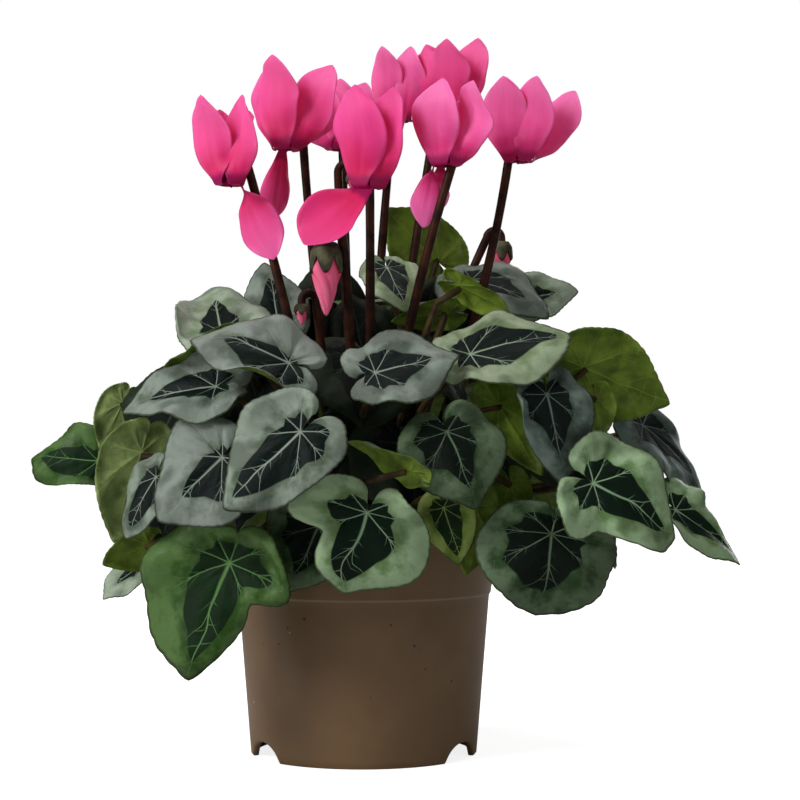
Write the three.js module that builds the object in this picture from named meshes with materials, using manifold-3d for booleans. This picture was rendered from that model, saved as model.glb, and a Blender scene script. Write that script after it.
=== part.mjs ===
// A potted cyclamen: a grower's pot with soil, a tuber with heart-shaped patterned leaves, eight
// blooms with swept-back petals and four nodding buds. Millimetres, +Z up. The pot stands on z = 0
// and the front of the plant faces -Y. Azimuth 0 points to -Y, 90 to +X and 180 to +Y.
import * as THREE from "three";
import { mergeVertices } from "three/addons/utils/BufferGeometryUtils.js";
import Module from "manifold-3d";

// ---------------------------------------------------------------- driving dimensions

const GAP = 0.3;

const POT = {
  height: 97,
  rimRadius: 60,
  footRadius: 49.2,
  stepHeight: 64,
  stepRadius: 54.2,
  stepWidth: 0.5,
  lipWidth: 3,
  lipHeight: 5,
  wall: 1.5,
  floorHeight: 9,
  floor: 1.8,
  lipStep: 0.6,
  lipRound: 0.8,
  sides: 32,
};
const NOTCH = { count: 3, first: 60, width: 25, height: 7.5, depth: 14, shoulder: 0.7 };
const SOIL = { top: 87, heap: 2, clearance: 2.2 };
const TUBER = { radius: 24, top: 96, bottom: 74, girth: 85, sides: 18, steps: 6 };

// A blade is a heart whose reach from the stalk is wide at the lobes and drawn out at the tip.
// rings: number of steps round the blade and share of the reach, from the stalk to the margin.
const BLADE = {
  thickness: 0.7,
  reach: 0.52,
  tipReach: 0.13,
  point: 0.35,
  pointAngle: 0.42,
  open: 0.97,
  dish: 0.22,
  crease: 0.04,
  teeth: 0.018,
  sinus: 0.945,
  lobes: 0.3,
  rings: [[8, 0.55], [16, 1]],
  small: 30,
  smallRings: [[12, 1]],
};
// swing, lift and approach: the ways in which a stalk may bend to pass the blades.
const STALK = {
  footRadius: 1.7,
  topRadius: 1.4,
  rings: [16.5, 20.5],
  footHeight: 90,
  below: 0.2,
  outward: 12,
  lowShare: 0.65,
  lowHeight: 125,
  slant: [0.95, 0.3],
  inset: 1.6,
  clear: 1,
  swing: [0, 12, -12, 24, -24, 36, -36, 50, -50],
  lift: [0, 14, -14, 28, 42],
  approach: [14, 6, 24],
  sides: 4,
  steps: 4,
};

const STEM = { footRadius: 2.2, topRadius: 1.7, sides: 5, steps: 5, holeDepth: 7, foot: 97 };
const HOOK = { radius: 3.4, rise: 11, steps: 3, budDrop: 2 };
const CALYX = { radius: 3.3, height: 4.6, below: 0.3, sides: 6 };
const TUBE = { mouth: 5.2, crown: 3.4, height: 6.4, wall: 1.1, sides: 8 };
const PETAL = {
  thickness: 0.8,
  foot: 0.3,
  inset: 0.9,
  start: 0.4,
  knee: -70,
  kneeLength: 0.16,
  twistFrom: 0.05,
  twistTo: 0.35,
  shares: [0, 0.1, 0.42, 0.72, 0.985],
};
const BUD = { slenderness: 0.17, radius: 1.4 };

// The tuber with its crossing stalks is freed of slivers up to this height.
const SLIVER = 0.05;
// Beyond this distance a stalk has room enough.
const FAR = 12;

const COLOUR = {
  pot: 0x5d4c3e,
  soil: 0x2b1c12,
  crown: 0x5b3a26,
  leaf: 0x4f6b4d,
  stem: 0x5a2f25,
  petal: 0xe85a96,
  bud: 0xc05a80,
};

// ---------------------------------------------------------------- what grows where

// Leaf blades. at: where the stalk meets the blade, tip: the point of the heart, face: azimuth and
// elevation that the upper side looks to, wide: width against length, bend: how far the midrib
// bends down in degrees, fold: how steeply the halves rise from the midrib, wave and turn: height
// and phase of the margin's waves.
const LEAVES = [
  { name: "leaf_low_left_front", at: [-52, -76, 87], tip: [-69, -70, 39], face: [-15, 8],
    wide: 1.15, bend: 15, fold: 0.1, wave: 0.05, turn: 0 },
  { name: "leaf_low_left_inner", at: [-17, -70, 101], tip: [-30, -78, 75], face: [-5, 0],
    wide: 1.25, bend: 20, fold: 0.1, wave: 0.04, turn: 1 },
  { name: "leaf_low_front", at: [3, -100, 108], tip: [-7, -92, 74], face: [5, 15],
    wide: 1.4, bend: 25, fold: 0.05, wave: 0.06, turn: 2 },
  { name: "leaf_low_right_small", at: [33, -82, 109], tip: [39, -88, 86], face: [5, 5],
    wide: 0.85, bend: 10, fold: 0.5, wave: 0.03, turn: 0 },
  { name: "leaf_low_right_back", at: [45, -72, 110], tip: [42, -76, 81], face: [170, 0],
    wide: 0.7, bend: 10, fold: 0.2, wave: 0.03, turn: 0 },
  { name: "leaf_mid_right_front", at: [34, -94, 139], tip: [45, -100, 108], face: [10, 12],
    wide: 1.15, bend: 25, fold: 0.1, wave: 0.05, turn: 1 },
  { name: "leaf_mid_front_turned", at: [20, -106, 124], tip: [-5, -101, 134], face: [180, 50],
    wide: 0.5, bend: 30, fold: 0.1, wave: 0.05, turn: 0 },
  { name: "leaf_low_right_big", at: [75, -88, 99], tip: [70, -90, 65], face: [12, -5],
    wide: 1.5, bend: 25, fold: 0.1, wave: 0.07, turn: 3 },
  { name: "leaf_right_bright", at: [91, -92, 119], tip: [123, -84, 91], face: [20, 12],
    wide: 1.25, bend: 35, fold: 0.1, wave: 0.06, turn: 2 },
  { name: "leaf_right_dark", at: [118, -30, 142], tip: [146, -20, 112], face: [55, 35],
    wide: 0.9, bend: 25, fold: 0.15, wave: 0.03, turn: 0 },
  { name: "leaf_far_right", at: [129, -50, 107], tip: [158, -48, 84], face: [20, 40],
    wide: 0.85, bend: 20, fold: 0.45, wave: 0.05, turn: 1 },
  { name: "leaf_right_turned", at: [91, -50, 166], tip: [129, -46, 150], face: [195, 20],
    wide: 0.85, bend: 20, fold: 0.1, wave: 0.06, turn: 0 },
  { name: "leaf_right_turned_low", at: [95, -62, 153], tip: [96, -70, 136], face: [180, 0],
    wide: 0.8, bend: 20, fold: 0.1, wave: 0.04, turn: 2 },
  { name: "leaf_mid_right_dark", at: [74, -78, 154], tip: [79, -86, 119], face: [15, 15],
    wide: 0.95, bend: 25, fold: 0.1, wave: 0.05, turn: 0 },
  { name: "leaf_mid_turned", at: [55, -76, 150], tip: [72, -82, 122], face: [185, -5],
    wide: 0.6, bend: 15, fold: 0.2, wave: 0.03, turn: 0 },
  { name: "leaf_mid_right_pale", at: [60, -70, 119], tip: [65, -73, 101], face: [175, 5],
    wide: 0.75, bend: 15, fold: 0.1, wave: 0.03, turn: 1 },
  { name: "leaf_top_right", at: [44, -72, 170], tip: [84, -66, 180], face: [0, 48],
    wide: 0.95, bend: 12, fold: 0.12, wave: 0.04, turn: 2 },
  { name: "leaf_top_centre", at: [6, -90, 162], tip: [40, -84, 169], face: [0, 45],
    wide: 1.15, bend: 12, fold: 0.15, wave: 0.04, turn: 1 },
  { name: "leaf_top_left", at: [-28, -86, 166], tip: [-68, -80, 176], face: [-5, 42],
    wide: 0.9, bend: 40, fold: 0.1, wave: 0.04, turn: 0 },
  { name: "leaf_upper_left", at: [-59, -38, 181], tip: [-67, 4, 204], face: [-5, 60],
    wide: 0.85, bend: 15, fold: 0.1, wave: 0.04, turn: 1 },
  { name: "leaf_crown_left", at: [-38, 10, 188], tip: [-45, 20, 216], face: [0, 20],
    wide: 0.9, bend: 15, fold: 0.1, wave: 0.04, turn: 0 },
  { name: "leaf_left_upper", at: [-58, -72, 157], tip: [-98, -62, 149], face: [-10, 50],
    wide: 0.85, bend: 20, fold: 0.25, wave: 0.04, turn: 2 },
  { name: "leaf_left_turned", at: [-45, -62, 174], tip: [-83, -54, 164], face: [180, 60],
    wide: 0.75, bend: 15, fold: 0.1, wave: 0.05, turn: 0 },
  { name: "leaf_left_grey", at: [-54, -86, 129], tip: [-80, -82, 103], face: [-15, 8],
    wide: 1.15, bend: 20, fold: 0.1, wave: 0.04, turn: 1 },
  { name: "leaf_front_left", at: [-22, -112, 139], tip: [-52, -106, 110], face: [-5, 18],
    wide: 0.95, bend: 25, fold: 0.12, wave: 0.04, turn: 0 },
  { name: "leaf_left_olive", at: [-90, -56, 131], tip: [-102, -54, 92], face: [200, 0],
    wide: 0.72, bend: 20, fold: 0.1, wave: 0.04, turn: 0 },
  { name: "leaf_left_low_grey", at: [-82, -70, 121], tip: [-95, -68, 97], face: [-40, 8],
    wide: 0.9, bend: 15, fold: 0.1, wave: 0.04, turn: 1 },
  { name: "leaf_far_left", at: [-114, -14, 127], tip: [-143, -10, 128], face: [-20, 18],
    wide: 0.95, bend: 20, fold: 0.15, wave: 0.04, turn: 0 },
  { name: "leaf_far_left_pale", at: [-103, -18, 152], tip: [-113, -20, 131], face: [190, 5],
    wide: 0.75, bend: 15, fold: 0.1, wave: 0.04, turn: 0 },
  { name: "leaf_low_left_olive", at: [-90, -30, 92], tip: [-109, -32, 84], face: [190, 30],
    wide: 1, bend: 15, fold: 0.1, wave: 0.04, turn: 0 },
  { name: "leaf_low_left_pale", at: [-96, -14, 82], tip: [-112, -18, 67], face: [-20, 30],
    wide: 0.7, bend: 15, fold: 0.3, wave: 0.04, turn: 0 },
  { name: "leaf_top_right_silver", at: [47, 3, 206], tip: [81, -12, 188], face: [15, 45],
    wide: 0.85, bend: 35, fold: 0.1, wave: 0.04, turn: 0 },
  { name: "leaf_top_right_turned", at: [40, -46, 200], tip: [61, -50, 187], face: [185, 45],
    wide: 0.55, bend: 15, fold: 0.1, wave: 0.04, turn: 0 },
  { name: "leaf_crown_back", at: [34, 60, 219], tip: [8, 60, 246], face: [180, 0],
    wide: 0.8, bend: 20, fold: 0.1, wave: 0.04, turn: 0 },
  { name: "leaf_far_top_right", at: [70, 6, 198], tip: [95, 10, 202], face: [10, 30],
    wide: 0.9, bend: 20, fold: 0.2, wave: 0.04, turn: 0 },
  { name: "leaf_crown_centre", at: [10, -2, 211], tip: [19, -20, 189], face: [10, 30],
    wide: 0.8, bend: 30, fold: 0.1, wave: 0.04, turn: 0 },
  { name: "leaf_crown_turned", at: [36, -24, 190], tip: [12, -24, 186], face: [180, 35],
    wide: 0.6, bend: 15, fold: 0.1, wave: 0.04, turn: 0 },
];

// Rows of blades behind the seen ones, round the back and inside the dome. They are one body with
// their stalks. from, to: azimuths of the ends of the row, radius and height: where the stalks meet
// the blades, drop: elevation that the tips point to.
const ROWS = [
  { from: 102, to: 256, count: 5, radius: 92, height: 118, length: 48, drop: -62 },
  { from: 115, to: 245, count: 4, radius: 64, height: 166, length: 46, drop: -38 },
  { from: 155, to: 210, count: 2, radius: 36, height: 200, length: 42, drop: -12 },
  { from: -66, to: 66, count: 4, radius: 46, height: 138, length: 42, drop: -74 },
  { from: -50, to: 56, count: 3, radius: 34, height: 172, length: 38, drop: -52 },
];
const ROW_LEAF = { roll: 16, wide: 1.2, bend: 25, fold: 0.08, wave: 0.04 };
const ROW_SCATTER = { azimuth: 3, height: 4, drop: 6 };

// Blooms. at: centre of the mouth, stem: azimuth of the side that the stem climbs on, foot: where
// the stem stands on the tuber, low and high: the stem's two bends. Petals go round from beside the
// stem: rise of the blade over the horizon, length, width, twist and sway to the side in degrees.
const BLOOMS = [
  { at: [-56, -24, 245], stem: 120, foot: [-14, -3], low: [-19, -18, 140], high: [-34, -28, 200],
    petals: [
      [80, 37, 18, 0, 0],
      [84, 38, 18, 0, 0],
      [87, 40, 18, 40, 0],
      [88, 41, 20, -20, 0],
      [-66, 36, 22, -75, 0],
    ] },
  { at: [-34, 2, 264], stem: 90, foot: [-11, 5], low: [-14, 6, 150], high: [-24, 6, 215],
    petals: [
      [62, 40, 18, -90, 0],
      [-84, 32, 14, 0, 0],
      [83, 40, 20, 70, 0],
      [88, 43, 22, 10, 0],
      [76, 42, 20, -50, 0],
    ] },
  { at: [-11, 36, 269], stem: 180, foot: [-5, 10], low: [-6, 14, 150], high: [-9, 34, 220],
    petals: [
      [82, 33, 18, 0, 0],
      [80, 33, 18, 50, 0],
      [86, 33, 20, 0, 0],
      [80, 33, 18, -60, 0],
      [82, 33, 18, 0, 0],
    ] },
  { at: [3, -45, 241], stem: 180, foot: [2, -8], low: [2, -22, 140], high: [4, -38, 185],
    petals: [
      [84, 42, 18, 0, 0],
      [88, 46, 23, 50, 0],
      [-54, 38, 25, 0, -42],
      [86, 45, 20, -70, 0],
      [84, 42, 18, 0, 0],
    ] },
  { at: [16, 48, 284], stem: 200, foot: [2, 12], low: [3, 22, 150], high: [6, 48, 225],
    petals: [
      [84, 34, 14, 0, 0],
      [86, 36, 14, 45, 0],
      [86, 36, 16, -10, 0],
      [84, 34, 14, -60, 0],
      [84, 34, 14, 0, 0],
    ] },
  { at: [40, 40, 286], stem: 240, foot: [8, 9], low: [10, 16, 150], high: [22, 36, 220],
    petals: [
      [80, 34, 18, 0, 0],
      [66, 34, 18, 60, 0],
      [86, 37, 20, 10, 0],
      [66, 36, 18, -50, 0],
      [80, 36, 18, 0, 0],
    ] },
  { at: [34, -45, 250], stem: 90, foot: [8, -11], low: [9, -26, 140], high: [20, -46, 195],
    petals: [
      [82, 38, 18, -60, 0],
      [-80, 20, 10, 0, 0],
      [-80, 27, 12, 80, 0],
      [88, 40, 22, 10, 0],
      [78, 40, 20, -50, 0],
    ] },
  { at: [66, -24, 255], stem: 200, foot: [14, -3], low: [34, -16, 140], high: [54, -28, 195],
    petals: [
      [84, 36, 16, 0, 0],
      [87, 39, 20, 45, 0],
      [80, 39, 18, -10, 0],
      [62, 38, 18, -80, 0],
      [66, 36, 16, -60, 0],
    ] },
];

// Buds nod from the end of a hooked stem. top: the highest point of the hook, nod: azimuth that it
// nods to, length: of the rolled petals.
const BUDS = [
  { name: "bud_front", top: [-11, -56, 222], nod: -90, foot: [-4, -13],
    low: [-4, -28, 140], high: [-4, -52, 185], length: 24 },
  { name: "bud_right", top: [50, 22, 232], nod: 80, foot: [10, 3],
    low: [18, 12, 150], high: [42, 26, 205], length: 16 },
  { name: "bud_low", top: [-22, -44, 197], nod: -60, foot: [-9, -9],
    low: [-12, -22, 130], high: [-17, -38, 170], length: 8 },
  { name: "bud_back", top: [-8, -6, 256], nod: 70, foot: [-2, -1],
    low: [-3, -2, 150], high: [-10, -4, 215], length: 7 },
];

// ---------------------------------------------------------------- small helpers

const wasm = await Module();
wasm.setup();

const { degToRad, lerp, smoothstep } = THREE.MathUtils;
const UP = new THREE.Vector3(0, 0, 1);

// Unit vector to an azimuth and an elevation in degrees.
function aim(azimuth, elevation = 0) {
  const turn = degToRad(azimuth);
  const lift = degToRad(elevation);
  return new THREE.Vector3(
    Math.sin(turn) * Math.cos(lift),
    -Math.cos(turn) * Math.cos(lift),
    Math.sin(lift),
  );
}

function geometryOf(points, faces) {
  const geometry = new THREE.BufferGeometry().setFromPoints(points);
  return geometry.setIndex(faces.flat());
}

function solidOf(geometry) {
  const bare = new THREE.BufferGeometry();
  bare.setAttribute("position", geometry.getAttribute("position"));
  bare.setIndex(geometry.getIndex());
  const merged = mergeVertices(bare, 1e-4);
  return new wasm.Manifold(
    new wasm.Mesh({
      numProp: 3,
      vertProperties: merged.attributes.position.array,
      triVerts: new Uint32Array(merged.index.array),
    }),
  );
}

function geometryOfSolid(solid) {
  const mesh = solid.getMesh();
  const geometry = new THREE.BufferGeometry();
  geometry.setAttribute("position", new THREE.BufferAttribute(mesh.vertProperties, 3));
  return geometry.setIndex(new THREE.BufferAttribute(mesh.triVerts, 1));
}

function fuse(solids) {
  return solids.reduce((whole, solid) => whole.add(solid));
}

// The largest body of a solid, without the crumbs that a cut leaves.
function largest(solid) {
  return solid.decompose().reduce((most, body) => (body.volume() > most.volume() ? body : most));
}

// A lathe turned to +Z from a list of [radius, height] pairs.
function turned(profile, sides) {
  const points = profile.map(([radius, height]) => new THREE.Vector2(radius, height));
  return new THREE.LatheGeometry(points, sides).rotateX(Math.PI / 2);
}

// A closed round bar through the points, with a radius at each.
function bar(points, radii, sides) {
  const path = new THREE.CatmullRomCurve3(points);
  const vertices = [];
  const faces = [];
  let side = null;
  points.forEach((point, i) => {
    const tangent = path.getTangent(i / (points.length - 1));
    if (i === 0) {
      const guide = Math.abs(tangent.z) > 0.9 ? new THREE.Vector3(1, 0, 0) : UP;
      side = new THREE.Vector3().crossVectors(tangent, guide);
    }
    side.addScaledVector(tangent, -side.dot(tangent)).normalize();
    const other = new THREE.Vector3().crossVectors(tangent, side);
    for (let k = 0; k < sides; k++) {
      const turn = (2 * Math.PI * k) / sides;
      vertices.push(
        point
          .clone()
          .addScaledVector(side, radii[i] * Math.cos(turn))
          .addScaledVector(other, radii[i] * Math.sin(turn)),
      );
    }
  });
  for (let i = 0; i + 1 < points.length; i++) {
    for (let k = 0; k < sides; k++) {
      const a = i * sides + k;
      const b = i * sides + ((k + 1) % sides);
      faces.push([a, b, b + sides], [a, b + sides, a + sides]);
    }
  }
  const last = (points.length - 1) * sides;
  for (let k = 1; k + 1 < sides; k++) {
    faces.push([0, k + 1, k], [last, last + k, last + k + 1]);
  }
  return geometryOf(vertices, faces);
}

// A thin closed sheet: the same triangles on both faces, and a wall round the border loop.
function sheet(middles, normals, faces, border, thickness) {
  const upper = middles.map((p, i) => p.clone().addScaledVector(normals[i], thickness / 2));
  const lower = middles.map((p, i) => p.clone().addScaledVector(normals[i], -thickness / 2));
  const n = middles.length;
  const all = faces.flatMap(([a, b, c]) => [[a, b, c], [n + a, n + c, n + b]]);
  border.forEach((a, i) => {
    const b = border[(i + 1) % border.length];
    all.push([a, n + a, n + b], [a, n + b, b]);
  });
  return geometryOf([...upper, ...lower], all);
}

function material(colour, roughness) {
  return new THREE.MeshStandardMaterial({ color: colour, roughness, metalness: 0 });
}

// ---------------------------------------------------------------- pot, soil and tuber

function wallRadius(height) {
  return height < POT.stepHeight
    ? lerp(POT.footRadius, POT.stepRadius, height / POT.stepHeight)
    : lerp(
        POT.stepRadius + POT.stepWidth,
        POT.rimRadius,
        (height - POT.stepHeight) / (POT.height - POT.stepHeight),
      );
}

function potSolid() {
  const inner = (height) => wallRadius(height) - POT.wall;
  const lipStart = POT.height - POT.lipHeight;
  const { lipStep, lipRound } = POT;
  const shell = turned(
    [
      [0, POT.floorHeight],
      [inner(0), POT.floorHeight],
      [inner(0) - 1, 0],
      [POT.footRadius, 0],
      [wallRadius(POT.stepHeight - 0.01), POT.stepHeight],
      [POT.stepRadius + POT.stepWidth, POT.stepHeight + lipStep],
      [wallRadius(lipStart) - lipStep, lipStart],
      [POT.rimRadius, lipStart + lipStep],
      [POT.rimRadius, POT.height - lipRound],
      [POT.rimRadius - lipRound, POT.height],
      [POT.rimRadius - POT.lipWidth, POT.height],
      [inner(POT.stepHeight), POT.stepHeight],
      [inner(POT.floorHeight) - lipRound, POT.floorHeight + POT.floor],
      [0, POT.floorHeight + POT.floor],
    ],
    POT.sides,
  );
  let pot = solidOf(shell);
  for (let i = 0; i < NOTCH.count; i++) {
    pot = pot.subtract(solidOf(notch(NOTCH.first + (360 * i) / NOTCH.count)));
  }
  return pot;
}

// The arch cut out of the foot ring at an azimuth.
function notch(azimuth) {
  const half = NOTCH.width / 2;
  const arch = new THREE.Shape();
  arch.moveTo(-half, -1);
  arch.lineTo(-half, 0);
  arch.quadraticCurveTo(-NOTCH.shoulder * half, NOTCH.height, 0, NOTCH.height);
  arch.quadraticCurveTo(NOTCH.shoulder * half, NOTCH.height, half, 0);
  arch.lineTo(half, -1);
  const cutter = new THREE.ExtrudeGeometry(arch, {
    depth: NOTCH.depth,
    bevelEnabled: false,
    curveSegments: 3,
  });
  cutter.rotateX(Math.PI / 2);
  cutter.translate(0, NOTCH.depth / 2 - POT.footRadius, 0);
  return cutter.rotateZ(degToRad(azimuth));
}

function soilSolid() {
  const floor = POT.floorHeight + POT.floor + GAP;
  const inner = (height) => wallRadius(height) - POT.wall - 1.2 * GAP;
  const hollow = tuberProfile(GAP).filter(([, height]) => height < SOIL.top + SOIL.heap);
  const edge = hollow[hollow.length - 1][0] + 1;
  return solidOf(
    turned(
      [
        [0, floor],
        [inner(POT.floorHeight) - 1, floor],
        [inner(POT.stepHeight) - GAP, POT.stepHeight],
        [inner(SOIL.top) - SOIL.clearance, SOIL.top],
        [edge, SOIL.top + SOIL.heap],
        ...hollow.reverse(),
      ],
      POT.sides,
    ),
  );
}

// The flattened ball of the tuber, grown by a clearance.
function tuberProfile(grow = 0) {
  const { steps } = TUBER;
  const points = [];
  for (let i = 0; i <= steps; i++) {
    const turn = (Math.PI * i) / steps - Math.PI / 2;
    const half = i < steps / 2 ? TUBER.girth - TUBER.bottom : TUBER.top - TUBER.girth;
    const round = Math.sign(Math.sin(turn)) * Math.abs(Math.sin(turn)) ** 0.8;
    const radius = i === 0 || i === steps ? 0 : (TUBER.radius + grow) * Math.cos(turn) ** 0.7;
    points.push([radius, TUBER.girth + (half + grow) * round]);
  }
  return points;
}

// ---------------------------------------------------------------- leaves

// Distance from the stalk to the margin of a heart of length 1, at an angle from the tip.
function heart(angle) {
  const { reach, tipReach, point, pointAngle, open } = BLADE;
  const turn = Math.abs(angle);
  const lobe = Math.sqrt(Math.max(0, 1 - (turn / (open * Math.PI)) ** 14));
  return (reach + tipReach * Math.cos(turn) + point * Math.exp(-turn / pointAngle)) * lobe;
}

// Height of the blade over its plane, in lengths.
function relief(leaf, a, b) {
  const reach = Math.hypot(a, b);
  const angle = Math.atan2(b, a);
  const bend = (degToRad(leaf.bend) / 2) * a * (1 - a) * (a > 0 ? 1 : BLADE.lobes);
  const fold = leaf.fold * (Math.hypot(b, BLADE.crease) - BLADE.crease);
  const share = Math.min(1.2, reach / 0.6);
  const wave = leaf.wave * share * share * Math.cos(5 * angle + leaf.turn);
  return bend + fold + wave - BLADE.dish * b * b;
}

// Places a blade: x from the stalk to the tip, y across, z out of the upper side, all in lengths.
function leafFrame(leaf) {
  const at = new THREE.Vector3(...leaf.at);
  const along = new THREE.Vector3(...leaf.tip).sub(at);
  const length = along.length();
  along.normalize();
  const face = aim(...leaf.face);
  face.addScaledVector(along, -face.dot(along)).normalize();
  const across = new THREE.Vector3().crossVectors(face, along);
  const frame = new THREE.Matrix4().makeBasis(along, across, face);
  frame.scale(new THREE.Vector3(length, length, length)).setPosition(at);
  return { frame, at, along, face, length };
}

// Rings of points round the stalk, the outermost on the toothed margin.
function bladeGeometry(leaf) {
  const { frame, length } = leafFrame(leaf);
  const rings = leaf.hidden || length < BLADE.small ? BLADE.smallRings : BLADE.rings;
  const flat = [[0, 0]];
  const starts = [];
  const faces = [];
  for (const [count, share] of rings) {
    starts.push(flat.length);
    for (let k = 0; k <= count; k++) {
      const angle = BLADE.sinus * Math.PI * ((2 * k) / count - 1);
      const tooth = share === 1 ? 1 + BLADE.teeth * (k % 2 ? 1 : -1) : 1;
      const reach = heart(angle) * share * tooth;
      flat.push([reach * Math.cos(angle), reach * Math.sin(angle) * leaf.wide]);
    }
  }
  for (let k = 0; k < rings[0][0]; k++) {
    faces.push([0, starts[0] + k, starts[0] + k + 1]);
  }
  for (let r = 1; r < rings.length; r++) {
    const step = rings[r][0] / rings[r - 1][0];
    for (let k = 0; k < rings[r - 1][0]; k++) {
      const near = starts[r - 1] + k;
      const far = starts[r] + k * step;
      faces.push([near, far, far + 1]);
      if (step === 2) faces.push([near, far + 1, near + 1], [near + 1, far + 1, far + 2]);
      else faces.push([near, far + 1, near + 1]);
    }
  }
  const outer = rings.length - 1;
  const border = [0, ...starts];
  for (let k = 1; k < rings[outer][0]; k++) border.push(starts[outer] + k);
  for (let r = outer; r >= 0; r--) border.push(starts[r] + rings[r][0]);
  const middles = flat.map(([a, b]) => new THREE.Vector3(a, b, relief(leaf, a, b)));
  const step = 0.01;
  const normals = flat.map(([a, b]) => {
    const slopeA = (relief(leaf, a + step, b) - relief(leaf, a - step, b)) / (2 * step);
    const slopeB = (relief(leaf, a, b + step) - relief(leaf, a, b - step)) / (2 * step);
    return new THREE.Vector3(-slopeA, -slopeB, 1).normalize();
  });
  return sheet(middles, normals, faces, border, BLADE.thickness / length).applyMatrix4(frame);
}

function azimuthOf({ at: [x, y] }) {
  return THREE.MathUtils.radToDeg(Math.atan2(x, -y));
}

// A repeatable draw between -1 and 1 from a whole number.
function draw(seed) {
  const value = Math.sin(seed * 127.1 + 11.7) * 43758.5453;
  return 2 * (value - Math.floor(value)) - 1;
}

// The leaves of a row, each a little off its place by a seeded draw.
function rowLeaves(row, index) {
  const leaves = [];
  for (let i = 0; i < row.count; i++) {
    const seed = 20 * index + i;
    const even = lerp(row.from, row.to, i / (row.count - 1));
    const azimuth = even + ROW_SCATTER.azimuth * draw(seed);
    const height = row.height + ROW_SCATTER.height * draw(seed + 0.3);
    const drop = row.drop + ROW_SCATTER.drop * draw(seed + 0.5);
    const at = aim(azimuth).multiplyScalar(row.radius).setZ(height);
    const tip = aim(azimuth, drop).multiplyScalar(row.length).add(at);
    leaves.push({
      name: `hidden_${index}_${i}`,
      at: at.toArray(),
      tip: tip.toArray(),
      face: [azimuth + ROW_LEAF.roll, drop + 90],
      wide: ROW_LEAF.wide,
      bend: ROW_LEAF.bend,
      fold: ROW_LEAF.fold,
      wave: ROW_LEAF.wave,
      turn: i,
      hidden: true,
    });
  }
  return leaves;
}

// ---------------------------------------------------------------- leaf stalks

// A test for how near a point comes to any of the blades, with some slack to the stalk's own.
function clearance(blades) {
  const corner = [new THREE.Vector3(), new THREE.Vector3(), new THREE.Vector3()];
  const nearest = new THREE.Vector3();
  const sets = blades.map(({ name, geometry }) => {
    const position = geometry.getAttribute("position");
    const index = geometry.getIndex().array;
    const triangles = [];
    for (let i = 0; i < index.length; i += 3) {
      corner.forEach((c, j) => c.fromBufferAttribute(position, index[i + j]));
      triangles.push(new THREE.Triangle(...corner.map((c) => c.clone())));
    }
    geometry.computeBoundingBox();
    return { name, triangles, box: geometry.boundingBox.clone().expandByScalar(FAR) };
  });
  return (point, own, slack) => {
    let least = FAR;
    for (const { name, triangles, box } of sets) {
      if (!box.containsPoint(point)) continue;
      const extra = name === own ? slack : 0;
      for (const triangle of triangles) {
        triangle.closestPointToPoint(point, nearest);
        least = Math.min(least, nearest.distanceTo(point) + extra);
      }
    }
    return least;
  };
}

// Distance to the rim of the pot or to the soil, whichever is nearer.
function potClearance(point) {
  const radius = Math.hypot(point.x, point.y);
  const aside = Math.max(POT.rimRadius - POT.lipWidth - radius, radius - POT.rimRadius, 0);
  const rim = Math.hypot(aside, Math.max(point.z - POT.height, 0));
  const soil = radius < POT.rimRadius ? point.z - SOIL.top - SOIL.heap : rim;
  return Math.min(rim, soil);
}

// Distance to the nearest flower or bud stem.
function stemClearance(point) {
  let least = FAR;
  for (const probe of stemProbes) least = Math.min(least, probe.distanceTo(point));
  return least - STEM.footRadius;
}

// The points of a line with more points put evenly between them.
function between(points, share) {
  const probes = [];
  for (let i = 0; i + 1 < points.length; i++) {
    for (let k = 0; k < share; k++) probes.push(points[i].clone().lerp(points[i + 1], k / share));
  }
  return [...probes, points[points.length - 1]];
}

const stalkBends = STALK.swing.flatMap((swing) =>
  STALK.lift.flatMap((lift) => STALK.approach.map((approach) => ({ swing, lift, approach }))),
);

// The stalk rises from the tuber's edge below its leaf and meets the blade from beneath. Its two
// bends swing aside until it passes clear of every blade, stem and the pot's rim. Its end stops a
// gap under the blade, except in the hidden rows, where it runs into it.
function stalkPoints(leaf, foot, near) {
  const { at, along, face, length } = leafFrame(leaf);
  const [up, forward] = STALK.slant;
  const slant = face.clone().multiplyScalar(up).addScaledVector(along, forward).normalize();
  const meeting = at.clone().addScaledVector(along, STALK.inset);
  meeting.addScaledVector(face, length * relief(leaf, STALK.inset / length, 0));
  const under = BLADE.thickness / 2 + GAP;
  const end = meeting.clone();
  if (!leaf.hidden) end.addScaledVector(face, -under - 0.7 * STALK.topRadius);
  const outward = new THREE.Vector3(at.x, at.y, 0).normalize();
  const aside = new THREE.Vector3().crossVectors(UP, outward);
  let best = null;
  for (const { swing, lift, approach } of stalkBends) {
    const low = foot.clone().addScaledVector(outward, STALK.outward);
    low.addScaledVector(aside, swing / 2);
    low.z = lerp(foot.z, Math.max(at.z, STALK.lowHeight), STALK.lowShare) + lift;
    const high = end.clone().addScaledVector(slant, -approach);
    high.addScaledVector(aside, swing / 2);
    high.z += lift / 3;
    const points = new THREE.CubicBezierCurve3(foot, low, high, end).getPoints(STALK.steps);
    const room = stalkRoom(leaf, points, near);
    if (!best || room > best.room) best = { room, points };
    if (room > STALK.footRadius + STALK.clear) break;
  }
  if (!leaf.hidden) {
    const tangent = new THREE.CatmullRomCurve3(best.points).getTangent(1);
    const lean = Math.sqrt(Math.max(0, 1 - tangent.dot(face) ** 2));
    const last = best.points[STALK.steps];
    last.copy(meeting).addScaledVector(face, -under - lean * STALK.topRadius);
  }
  return best.points;
}

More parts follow.
